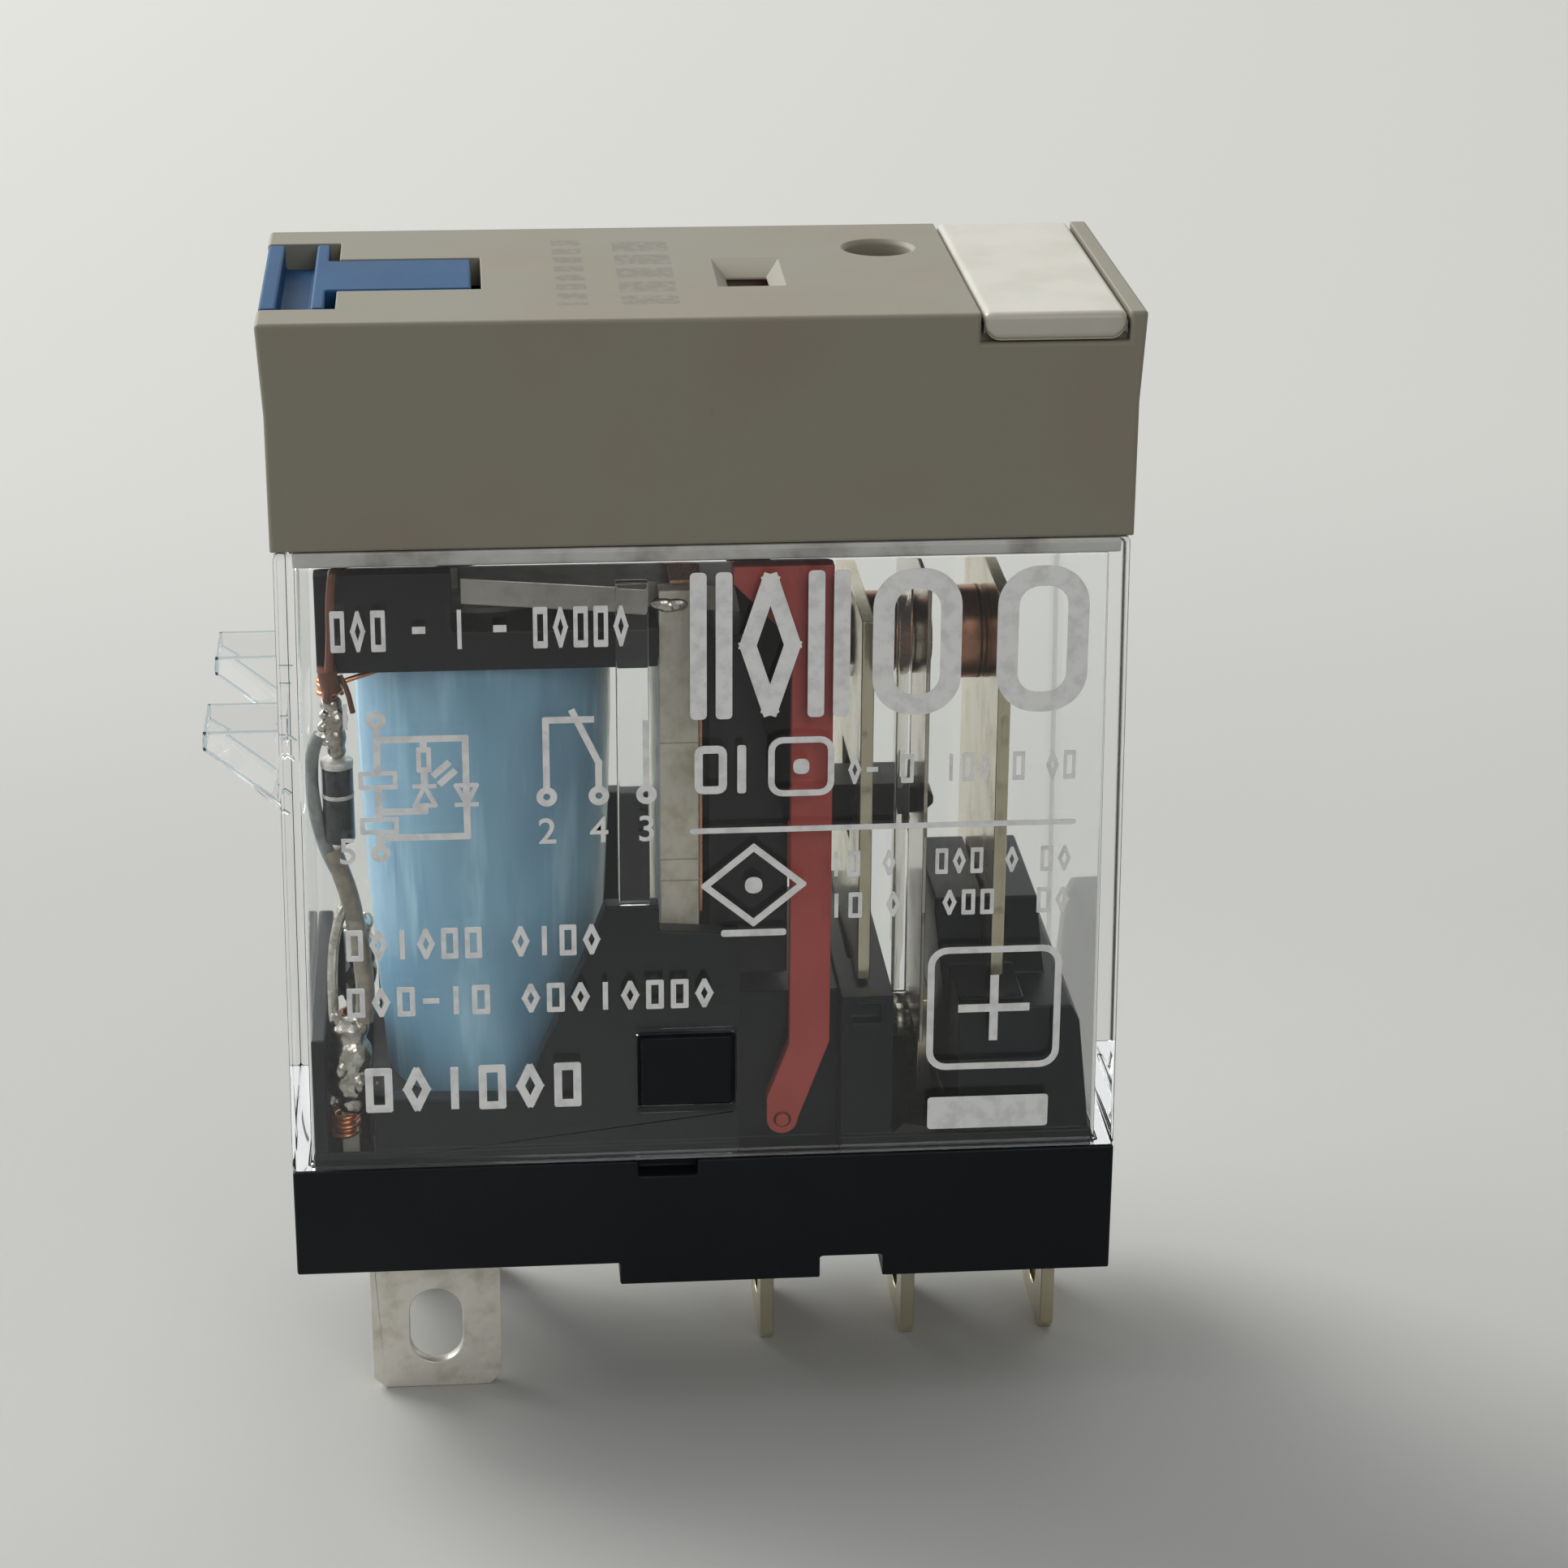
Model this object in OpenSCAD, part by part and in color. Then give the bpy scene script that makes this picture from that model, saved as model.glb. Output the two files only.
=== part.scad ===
// Plug-in changeover relay with indicator, lamp and test lever.
// X runs along the length, -Y is the printed front face, +Z is up.
// The origin is at the centre of the seat under the base.

/* [Body] */
// Length over the base and the top of the cover
body_l = 29; // [28.6:0.1:38]
// Width over the case
body_w = 13; // [12.9:0.1:18]
// Height from the seat to the top of the cover
body_h = 35.3; // [35:0.1:44]
// Height of the base rim that the clear case sits on
base_h = 4.9; // [4:0.1:5.9]
// Height of the lower edge of the cover
cover_low = 27.6; // [27.4:0.1:27.9]
// How much each end of the case leans in towards the cover
case_draft = 0.28; // [0:0.02:0.5]
// Depth of the seat lugs below the base's underside
lug_depth = 0.85; // [0.5:0.05:1.2]

/* [Walls and fits] */
// Wall of the clear case
case_wall = 0.6; // [0.5:0.02:0.72]
// Wall of the cover
cover_wall = 1; // [0.8:0.05:1.1]
// Gap between pieces that seat on each other
fit = 0.04; // [0.02:0.01:0.06]
// Radial clearance of a pin in its hole
pin_gap = 0.05; // [0.02:0.01:0.08]
// Clearance of a moving piece in its slot
move_gap = 0.12; // [0.1:0.01:0.16]

/* [Blades] */
// Width of every blade
blade_w = 4.7; // [3.8:0.1:5.6]
leaf_w = 9.2; // [8:0.2:9.6]
// Thickness of every blade
blade_t = 0.5; // [0.4:0.02:0.6]
// Length of the blades below the seat
blade_drop = 5; // [4:0.1:7]
// Width of the hole in each blade
slot_w = 1.9; // [1.4:0.1:2.2]
// Height of the hole in each blade
slot_l = 3; // [2.5:0.1:3.6]
// Middle of the coil blades along the length
coil_blade_x = -9.7; // [-9.9:0.1:-9.5]
// Distance between the two coil blades across the width
coil_row = 8.5; // [8.2:0.1:8.6]
// Place of the first contact blade along the length
first_contact_x = 2.5; // [2.4:0.1:2.7]
// Pitch of the three contact blades
contact_pitch = 5.25; // [5:0.05:5.3]

/* [Coil] */
// Axis of the coil along the length
coil_x = -7.45; // [-7.6:0.05:-7.4]
// Outer radius of the wound coil at the top
coil_r = 4.5; // [3.7:0.1:5.4]
// Outer radius of the wound coil at the bottom
coil_low_r = 3.75; // [3.4:0.05:4.2]
// Radius of the iron core
core_r = 2.3; // [1.8:0.1:2.8]
// Radius of the pole face on the core
pole_r = 3; // [2.6:0.1:3.2]
// Wall of the bobbin's tube
bobbin_wall = 0.55; // [0.4:0.05:0.7]
// Thickness of the bobbin's top flange
flange_t = 1.4; // [1:0.1:1.6]
// Height of the pole face
pole_z = 24.45; // [24.3:0.05:24.6]

/* [Armature] */
// Thickness of the armature
armature_t = 0.95; // [0.79:0.02:1.15]
// Angle of the open armature over the pole face
gap_angle = 4.5; // [3.5:0.1:4.8]
// Place of the knife edge on the yoke along the length
hinge_x = -0.8; // [-0.9:0.05:-0.7]
// Thickness of the yoke
yoke_t = 1.35; // [1.1:0.05:1.4]

/* [Contacts] */
// Height of the contact centres
contact_z = 22.2; // [21.8:0.1:22.4]
// Radius of the fixed contact heads
contact_r = 1.65; // [1.3:0.05:1.8]
// Travel of the moving contact between the fixed ones
contact_travel = 0.7; // [0.5:0.05:0.75]
// Thickness of the moving spring
spring_t = 0.14; // [0.1:0.01:0.2]
// Height of the middle of the spring's foot above the base rim
spring_foot_rise = 2.6; // [2.4:0.1:2.8]
// Thickness of the fixed contact plates
plate_t = 0.45; // [0.35:0.05:0.5]

/* [Indicator] */
// Thickness of the red lever
lever_t = 0.55; // [0.4:0.05:0.6]
// Width of the red lever's stem
stem_w = 1.42; // [1.3:0.02:1.6]
// Place of the lever's pin along the length
lever_pin_x = 2.7; // [2.6:0.05:2.8]
// Height of the lever's pin above the base rim
lever_pin_rise = 1.2; // [1.1:0.1:1.4]
// Radius of the lever's pin
lever_pin_r = 0.24; // [0.2:0.02:0.3]

/* [Test lever] */
// Height of the test lever's pivot below the top of the cover
press_drop = 1.8; // [1.7:0.05:1.9]
// Distance of the test lever's pivot from the end of the cover
press_inset = 1.4; // [1.3:0.05:1.5]
// Radius of the test lever's pivot pins
press_pin_r = 0.4; // [0.3:0.05:0.45]
// Width of the test lever's head
press_head_w = 8.85; // [7.3:0.05:9]
// Width of the test lever's bar
press_bar_w = 4.1; // [3:0.1:5]

/* [Lamp] */
// Radius of the lamp
lamp_r = 1.5; // [1.2:0.05:1.5]
// Radius of the hole over the lamp
lamp_hole_r = 1.15; // [1:0.05:1.6]
// Place of the lamp along the length
lamp_x = 6.62; // [6.5:0.05:6.9]
// Place of the lamp across the width
lamp_y = 2.9; // [2.7:0.05:2.95]

/* [Hidden] */
$fn = 48;
small = 0.01;
half_l = body_l / 2;
half_w = body_w / 2;

// Case: outer half lengths at its foot and at the cover, inner faces
case_top_l = half_l - case_draft;
case_in_y = half_w - case_wall;
case_in_low = half_l - case_wall - 0.05;
step_l = case_top_l - cover_wall - fit;
step_w = half_w - cover_wall - fit;
roof_z = cover_low + 1.9;

// Base: plug inside the case and inner walls
plug_l = case_in_low - fit - 0.05;
plug_w = case_in_y - fit;
plug_z = base_h + 0.5;
wall_t = 0.8;

// Iron circuit
foot_t = 1.25;
foot_w = 7;
foot_z = plug_z - foot_t;
yoke_w = 9.4;
yoke_right = hinge_x + 0.65;
yoke_left = yoke_right - yoke_t;
hinge_z = pole_z + 0.05;
knife_z = hinge_z - 0.02;
ear_z = hinge_z + armature_t + 0.05;
neck_w = 7.4;
ear_gap = 0.2;

// Bobbin
flange_z = pole_z - 0.15;
coil_top = flange_z - flange_t;
low_flange_t = 0.9;
coil_bottom = plug_z + low_flange_t;
bobbin_bore = core_r + fit;
bobbin_l = coil_x - 5.55;
bobbin_w = 10;
ear_x = -8.44;
ear_in = 3.2;
ear_top = cover_low - case_wall - 0.6;
tape_t = 0.2;
pin_x = bobbin_l + 0.35;
pin_y = 4;
pin_low = 20.4;
coil_pin_r = 0.3;

// Coil blades
post_w = 0.6;
post_x = pin_x + 0.15;
post_top = plug_z + 4.2;
solder_r = 0.66;
well_x = post_x - solder_r - 0.05;
neck_z = 3;

// Contacts
spring_foot_z = base_h + spring_foot_rise;
spring_x = first_contact_x + contact_pitch - 0.03;
head_l = 0.5;
nc_face = spring_x - spring_t / 2 - head_l - 0.03;
no_face = spring_x + spring_t / 2 + head_l + contact_travel;
no_head_t = 1.15;
no_plate_x = no_face + no_head_t;
nc_head_t = 1.25;
nc_plate_x = nc_face - nc_head_t - plate_t;
shank_r = 0.7;
com_plate_x = spring_x + spring_t / 2 + 0.09;
jog_z = 2;
no_plate_top = 25;
nc_plate_top = 24.2;
leaf_low = 10.9;
com_plate_top = spring_foot_z + 1.5;
rivet_r = 0.35;
rivet_rise = 0.75;

// Card
card_l = yoke_right + 0.35;
card_r = 2.95;
card_w = 8.8;
card_low = 11.2;
card_top = 23.6;
nose_z = 15.2;
nose_h = 1.7;
nose_w = 2.2;
tip_h = 1;
tip_w = 1.2;
limb_x = card_l + 0.25;
limb_low = 18;
limb_w = 6;
peg_x = card_r + 0.6;
peg_z = 16;
peg_r = 0.3;
shoulder_x = spring_x - spring_t / 2 - 0.34;

// Red lever
lever_pin_z = base_h + lever_pin_rise;
lever_front = -case_in_y + move_gap;
lever_back = lever_front + lever_t;
stem_x = 2.93;
knee_z = 9.1;
head_z = 24;
shelf_z = cover_low - case_wall - 0.95;
shelf_t = 0.6;
arm_y = -1.4;
flag_z = body_h - cover_wall - 0.9;
flag_t = 0.5;

// Test lever
press_x = -half_l + press_inset;
press_z = body_h - press_drop;
pocket_x = -11.95;
bar_slot_x = -7.18;
rod_x = -8.9;
rod_l = 1.2;
rod_low = pole_z + armature_t + 0.77;
well_t = 0.7;
well_low = press_z - 1;

// Nameplate and indicator window
plate_l = half_l - 5.5;
plate_r = half_l - 0.6;
plate_lip = 1;
window_x = 1.15;
window_l = 1.4;
window_y = -1.35;
window_w = 1.9;
window_flare_x = 0.46;
window_flare_y = 0.95;
window_web = 0.45;

// Lamp board
board_z = roof_z + 0.3;
board_t = 0.8;
board_l = 5.2;
board_r = step_l - 0.35;
board_w = 9.4;
flange_h = 0.9;
resistor_x = 10;
resistor_r = 0.75;
resistor_l = 3.6;
lead_r = 0.2;
wire_r = 0.16;
wire_y = 4.25;

// ---- Helpers ----

// Box from its lowest to its highest corner
module span(a, b) translate(a) cube(b - a);

// Outline in X and Z, extruded across Y from y0 to y1
module slab(points, y0, y1)
    translate([0, y1, 0]) rotate([90, 0, 0]) linear_extrude(y1 - y0) polygon(points);

// The same piece on the front and on the rear side
module both_sides() {
    children();
    mirror([0, 1, 0]) children();
}

// Bar along Y and along X
module rod_y(x, z, y0, y1, r)
    translate([x, y1, z]) rotate([90, 0, 0]) cylinder(h = y1 - y0, r = r);
module rod_x(y, z, x0, x1, r)
    translate([x0, y, z]) rotate([0, 90, 0]) cylinder(h = x1 - x0, r = r);

// Long hole with round ends, its length along Z, cut along Y
module slot_y(x, z, y0, y1, w, l) {
    span([x - w / 2, y0, z - (l - w) / 2], [x + w / 2, y1, z + (l - w) / 2]);
    for (side = [-1, 1]) rod_y(x, z + side * (l - w) / 2, y0, y1, w / 2);
}
module slot_x(y, z, x0, x1, w, l) {
    span([x0, y - w / 2, z - (l - w) / 2], [x1, y + w / 2, z + (l - w) / 2]);
    for (side = [-1, 1]) rod_x(y, z + side * (l - w) / 2, x0, x1, w / 2);
}

// Round wire swept along a route
function unit(v) = v / norm(v);
function heading(p, i) =
    unit(p[min(i + 1, len(p) - 1)] - p[max(i - 1, 0)]);
function side_of(t) = unit(cross(t, abs(t[1]) > 0.9 ? [1, 0, 0] : [0, 1, 0]));
function ring(p, t, r, n) =
    let (u = side_of(t), v = cross(t, u))
    [for (k = [0:n - 1]) p + r * (cos(360 * k / n) * u + sin(360 * k / n) * v)];
module wire(route, r, n = 10) {
    m = len(route);
    points = [for (i = [0:m - 1]) each ring(route[i], heading(route, i), r, n)];
    sides = [for (i = [0:m - 2], k = [0:n - 1])
        [i * n + k, (i + 1) * n + k, (i + 1) * n + (k + 1) % n, i * n + (k + 1) % n]];
    ends = [[for (k = [0:n - 1]) k], [for (k = [n - 1:-1:0]) (m - 1) * n + k]];
    polyhedron(points, concat(sides, ends), convexity = 6);
}
// Smooth route through hand-set points
function curve(p, steps = 4) = [
    for (i = [0:len(p) - 2], s = [0:steps - 1])
        let (a = p[max(i - 1, 0)], b = p[i], c = p[i + 1],
             d = p[min(i + 2, len(p) - 1)], t = s / steps)
        0.5 * (2 * b + (c - a) * t + (2 * a - 5 * b + 4 * c - d) * t * t
            + (3 * b - a - 3 * c + d) * t * t * t),
    p[len(p) - 1]
];

// ---- Terminals ----

// Coil blade with its neck and solder post; grow widens it for the slot in the base
module coil_blade(grow = 0) {
    y0 = -coil_row / 2 - blade_t / 2 - grow;
    y1 = y0 + blade_t + 2 * grow;
    left = coil_blade_x - blade_w / 2;
    right = coil_blade_x + blade_w / 2;
    tip = 0.45;
    slab([
        [left + tip, -blade_drop], [right - tip, -blade_drop],
        [right + grow, -blade_drop + tip], [right + grow, neck_z + 0.8 + grow],
        [post_x + post_w / 2 + grow, neck_z + 0.8 + grow],
        [post_x + post_w / 2 + grow, post_top], [post_x - post_w / 2 - grow, post_top],
        [post_x - post_w / 2 - grow, neck_z - grow], [left - grow, neck_z - grow],
        [left - grow, -blade_drop + tip]
    ], y0, y1);
}
// Contact blade at x, its jog and the plate above it
module contact_blade(x, plate_x, t, top, grow = 0) {
    half = blade_w / 2 + grow;
    tip = 0.45;
    translate([x - blade_t / 2 - grow, 0, 0]) rotate([90, 0, 90])
        linear_extrude(blade_t + 2 * grow) polygon([
            [-half + tip, -blade_drop], [half - tip, -blade_drop],
            [half, -blade_drop + tip], [half, jog_z + blade_t],
            [-half, jog_z + blade_t], [-half, -blade_drop + tip]
        ]);
    span([min(x - blade_t / 2, plate_x) - grow, -half, jog_z - grow],
        [max(x + blade_t / 2, plate_x + t) + grow, half, jog_z + blade_t + grow]);
    span([plate_x - grow, -half, jog_z], [plate_x + t + grow, half, top]);
    // Broad upper part above the blocks of the base
    if (top > leaf_low)
        span([plate_x - grow, -leaf_w / 2 - grow, leaf_low - grow],
            [plate_x + t + grow, leaf_w / 2 + grow, top]);
}
module blade_hole_y() slot_y(coil_blade_x, -blade_drop / 2, -half_w, half_w, slot_w, slot_l);
module blade_hole_x(x) slot_x(0, -blade_drop / 2, x - 1, x + 1, slot_w, slot_l);

module coil_terminal_front()
    color("silver") difference() {
        coil_blade();
        blade_hole_y();
    }
module coil_terminal_rear() mirror([0, 1, 0]) coil_terminal_front();

module nc_terminal()
    color("lightyellow") difference() {
        contact_blade(first_contact_x, nc_plate_x, plate_t, nc_plate_top);
        blade_hole_x(first_contact_x);
        rod_x(0, contact_z, nc_plate_x - 1, nc_plate_x + 1, shank_r + fit);
        span([nc_plate_x - 1, -nose_w / 2 - 0.25, nose_z - 0.4],
            [nc_plate_x + 1, nose_w / 2 + 0.25, nose_z + nose_h + 0.95]);
    }
module com_terminal()
    color("khaki") difference() {
        contact_blade(first_contact_x + contact_pitch, com_plate_x, blade_t, com_plate_top);
        blade_hole_x(first_contact_x + contact_pitch);
        for (side = [-1, 1])
            rod_x(side * rivet_rise, spring_foot_z, com_plate_x - 1, com_plate_x + 1,
                rivet_r + small);
    }
module no_terminal()
    color("khaki") difference() {
        contact_blade(first_contact_x + 2 * contact_pitch, no_plate_x, plate_t, no_plate_top);
        blade_hole_x(first_contact_x + 2 * contact_pitch);
        rod_x(0, contact_z, no_plate_x - 1, no_plate_x + 1, shank_r + fit);
    }

// ---- Base ----

// Walls that stand up inside the case, on the front side
module inner_walls() {
    face = -plug_w + 0.1;
    back = face + wall_t;
    // Low wall and buttress in front of the coil
    slab([
        [-11.6, base_h], [-11.6, 7.7], [-10.9, 7.35], [-6.3, 7.2], [-5.8, 8.9],
        [-4.35, 12.15], [-3.46, 14.45], [-1.6, 14.45], [-1.6, 13.5], [1.2, 13.3], [1.2, base_h]
    ], face, back);
    // Latch that snaps into the window of the case
    slab([[-2.3, 7], [-2.3, 9.62], [0.9, 9.62], [0.9, 7]], -half_w + 0.12, face + small);
}
module base() {
    seat = lug_depth;
    mound_face = -plug_w + 0.1;
    color("#1d242c") difference() {
        union() {
            span([-half_l, -half_w, seat], [half_l, half_w, base_h]);
            span([-plug_l, -plug_w, base_h - small], [plug_l, plug_w, plug_z]);
            // Seat lugs with a notch between them
            span([-3.1, -half_w, 0], [4.05, half_w, seat + small]);
            span([6.3, -half_w, 0], [half_l, half_w, seat + small]);
            both_sides() inner_walls();
            // End wall beside the coil posts
            span([-plug_l, -plug_w + 0.1, plug_z - small], [well_x, plug_w - 0.1, 9.7]);
            // Block under the card and block round the break plate
            span([1.2, -4.7, plug_z - small], [4.75, 4.7, 10.6]);
            span([4.75, mound_face, plug_z - small], [6.6, -mound_face, 10.75]);
            // Blocks round the make plate, with a mound that slopes to the end wall
            slab([[8.9, plug_z - small], [8.9, 10.6], [11.2, 10.6], [11.2, 10.2], [12.9, 10.2],
                [13.2, 9.6], [13.65, plug_z - small]], mound_face, -mound_face);
            slab([[8.9, 8], [8.35, 12.6], [8.35, 13.2], [12, 13.2], [12.6, 8]], -2.9, 2.9);
        }
        // Notch in the rim under the front of the case
        span([-2.41, -half_w - 1, base_h - 0.6], [-0.32, -half_w + 0.8, base_h + small]);
        // Relief between the lugs has a rounded roof
        span([4.05, -half_w - 1, -1], [6.3, half_w + 1, seat]);
        // Pocket for the yoke's foot and the rivet end of the core
        span([coil_x - 4.4, -foot_w / 2 - fit, foot_z - fit], [yoke_right + fit, foot_w / 2 + fit, 20]);
        span([yoke_left - fit, -yoke_w / 2 - fit, foot_z - fit],
            [yoke_right + fit, yoke_w / 2 + fit, 20]);
        // Wells round the solder posts
        both_sides() span([well_x, -plug_w + 0.1, neck_z + 1.2], [-11.6, -2.6, 20]);
        // Slots for the blades
        both_sides() coil_blade(fit);
        contact_blade(first_contact_x, nc_plate_x, plate_t, nc_plate_top, fit);
        contact_blade(first_contact_x + contact_pitch, com_plate_x, blade_t, com_plate_top, fit);
        contact_blade(first_contact_x + 2 * contact_pitch, no_plate_x, plate_t, no_plate_top, fit);
        // Hollow for the red lever and hole for its pin
        span([1.2, -half_w, base_h], [4.75, -4.7, 20]);
        rod_y(lever_pin_x, lever_pin_z, -half_w, -2.5, lever_pin_r + small);
        // Small test recess in the break block
        span([5.1, mound_face - 1, 9.75], [6.2, mound_face + 0.5, 10.4]);
    }
}
module lever_pin()
    color("firebrick") rod_y(lever_pin_x, lever_pin_z, lever_front - 0.06, -2.6, lever_pin_r);

// ---- Case and cover ----

function case_outline(inset, z0, z1) =
    let (lean = case_draft / (cover_low - base_h),
         foot = half_l - inset - lean * (z0 - base_h),
         head = half_l - inset - lean * (z1 - base_h))
    [[-foot, z0], [foot, z0], [head, z1], [-head, z1]];
module clear_case() {
    color([0.8, 0.85, 0.85, 0.35]) difference() {
        union() {
            slab(case_outline(0, base_h + fit, cover_low - fit), -half_w, half_w);
            span([-step_l, -step_w, cover_low - 0.5], [step_l, step_w, roof_z]);
            // Hold-down prongs on the coil end
            both_sides() slab([
                [-case_top_l - 0.1, 20.95], [-half_l - 2.4, 20.95], [-half_l - 2.45, 20.3],
                [-case_top_l - 0.1, 17.95]
            ], -5.2, -2.35);
        }
        slab(case_outline(case_wall + 0.05, base_h, cover_low - case_wall), -case_in_y, case_in_y);
        span([-step_l + case_wall, -step_w + case_wall, cover_low - 2],
            [step_l - case_wall, step_w - case_wall, roof_z - case_wall]);
        // Latch windows
        both_sides() span([-2.42, -half_w - 1, 6.88], [1.02, -case_in_y + small, 9.74]);
        // Roof openings: press rod, indicator arm, lamp wires
        span([-10.6, -1.3, roof_z - 2], [-7.2, 1.3, roof_z + 1]);
        span([0.6, -2.1, roof_z - 2], [5.3, -0.2, roof_z + 1]);
        both_sides() span([-step_l + case_wall, -step_w + case_wall, roof_z - 2],
            [-step_l + case_wall + 1.2, -wire_y + 0.6, roof_z + 1]);
    }
}
module cover_outline(inset)
    polygon([
        [-case_top_l - 0.1 + inset, cover_low], [case_top_l + 0.1 - inset, cover_low],
        [case_top_l + 0.1 - inset, body_h - 3.1], [half_l - inset, body_h - inset],
        [-half_l + inset, body_h - inset], [-case_top_l - 0.1 + inset, body_h - 3.1]
    ]);
module cover_block(inset, half)
    translate([0, half, 0]) rotate([90, 0, 0]) linear_extrude(2 * half) cover_outline(inset);
// Flared mouth of the indicator window
module window_funnel() {
    low = body_h - window_web;
    high = body_h + small;
    function rect(gx, gy, z) = [
        [window_x - gx, window_y - gy, z], [window_x + window_l + gx, window_y - gy, z],
        [window_x + window_l + gx, window_y + window_w + gy, z],
        [window_x - gx, window_y + window_w + gy, z]
    ];
    polyhedron(concat(rect(0, 0, low), rect(window_flare_x, window_flare_y, high)), [
        [0, 1, 2, 3], [7, 6, 5, 4], [0, 4, 5, 1], [1, 5, 6, 2], [2, 6, 7, 3], [3, 7, 4, 0]
    ]);
}
module top_cover() {
    pocket_half = press_head_w / 2 + 0.15;
    color("#96937f") difference() {
        union() {
            difference() {
                cover_block(0, half_w);
                translate([0, 0, -small]) cover_block(cover_wall, half_w - cover_wall);
                span([-step_l - fit, -step_w - fit, cover_low - 1], [step_l + fit, step_w + fit, roof_z]);
            }
            // Cheeks that carry the test lever's pivot
            both_sides() span([press_x - 1, -pocket_half - well_t, well_low],
                [press_x + 1, -pocket_half, body_h - cover_wall + small]);
        }
        // Pocket for the head and slot for the bar
        span([-half_l - 1, -pocket_half, press_z - 0.75], [-half_l + 1.3, pocket_half, body_h + 1]);
        span([-half_l - 1, -pocket_half, body_h - cover_wall - 1], [pocket_x, pocket_half, body_h + 1]);
        span([pocket_x - 1, -press_bar_w / 2 - 0.15, body_h - cover_wall - 1],
            [bar_slot_x, press_bar_w / 2 + 0.15, body_h + 1]);
        both_sides() rod_y(press_x, press_z, -half_w + cover_wall, -pocket_half + 1,
            press_pin_r + pin_gap);
        // Indicator window with flared sides
        span([window_x, window_y, body_h - 2],
            [window_x + window_l, window_y + window_w, body_h]);
        window_funnel();
        // Thinner roof round the window, from below
        span([window_x - 0.4, window_y - 0.5, body_h - cover_wall - small],
            [window_x + window_l + 0.4, window_y + window_w + 0.5, body_h - window_web - 0.08]);
        // Lamp hole with a countersunk rim
        translate([lamp_x, lamp_y, body_h - 2]) cylinder(h = 4, r = lamp_hole_r);
        translate([lamp_x, lamp_y, body_h - 0.15])
            cylinder(h = 0.15 + small, r1 = lamp_hole_r, r2 = lamp_hole_r + 0.15);
        // Seat of the nameplate: top, front lip and snap holes
        span([plate_l, -half_w - 1, body_h - 0.5], [plate_r, half_w + 1, body_h + 1]);
        both_sides() span([plate_l, -half_w - 1, body_h - plate_lip], [plate_r, -half_w + 0.45, body_h]);
        for (side = [-1, 1])
            span([plate_l + 1.4, side * 3 - 0.7, body_h - 2], [plate_l + 2.2, side * 3 + 0.7, body_h]);
    }
}
module nameplate() {
    gap = 2 * fit;
    tilt = 0.35;
    color("#d7d5cb") {
        span([plate_l + gap, -half_w + 0.02, body_h - 0.5 + fit],
            [plate_r - gap, half_w - 0.02, body_h]);
        both_sides() slab([
            [plate_l + gap, body_h - 0.4], [plate_l + gap, body_h - plate_lip + tilt + 0.1],
            [plate_l + gap + tilt, body_h - plate_lip + gap],
            [plate_r - gap - tilt, body_h - plate_lip + gap],
            [plate_r - gap, body_h - plate_lip + tilt + 0.1], [plate_r - gap, body_h - 0.4]
        ], -half_w + 0.02, -half_w + 0.4 - gap);
        for (side = [-1, 1])
            span([plate_l + 1.4 + gap, side * 3 - 0.6, body_h - cover_wall - 0.3],
                [plate_l + 2.2 - gap, side * 3 + 0.6, body_h - 0.4]);
    }
}

// ---- Test lever ----

module test_lever() {
    half = press_head_w / 2;
    bar = press_bar_w / 2;
    right = pocket_x - 0.37;
    color("#4b7fb8") {
        difference() {
            slab([[-half_l + 0.05, press_z - 0.5], [right, press_z - 0.5],
                [right, body_h], [-half_l + 0.05, body_h]], -half, half);
            // Finger recess between the two ribs of the head
            slab([[-half_l + 0.62, body_h - 0.85], [right - 0.55, body_h - 0.85],
                [right - 0.3, body_h + 1], [-half_l + 0.62, body_h + 1]], -half - 1, half + 1);
        }
        span([right - small, -bar, body_h - cover_wall - 0.1], [bar_slot_x - 0.33, bar, body_h]);
        span([rod_x, -0.9, rod_low + 0.5], [rod_x + rod_l, 0.9, body_h - cover_wall]);
        rod_y(rod_x + rod_l / 2, rod_low + 0.6, -0.9, 0.9, rod_l / 2);
        both_sides() rod_y(press_x, press_z, -half - 0.55, -half + small, press_pin_r);
    }
}

// ---- Coil and iron circuit ----

module bobbin() {
    color("#23282d") difference() {
        union() {
            span([bobbin_l, -bobbin_w / 2, coil_top], [yoke_left - fit, bobbin_w / 2, flange_z]);
            // Ears and end wall that guide the armature's tongue
            both_sides() span([bobbin_l, -bobbin_w / 2, flange_z - small], [ear_x, -ear_in, ear_top]);
            span([bobbin_l, -bobbin_w / 2, flange_z - small], [bobbin_l + 0.65, bobbin_w / 2, ear_top]);
            translate([coil_x, 0, plug_z])
                cylinder(h = flange_z - plug_z, r = bobbin_bore + bobbin_wall);
            span([coil_x - 4.35, -4.6, plug_z], [yoke_left - fit, 4.6, coil_bottom]);
        }
        translate([coil_x, 0, plug_z - 1]) cylinder(h = 30, r = bobbin_bore);
        translate([coil_x, 0, pole_z - 0.7 - fit]) cylinder(h = 5, r = pole_r + fit);
        both_sides() translate([pin_x, -pin_y, 0]) cylinder(h = 30, r = coil_pin_r + small);
    }
}
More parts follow.
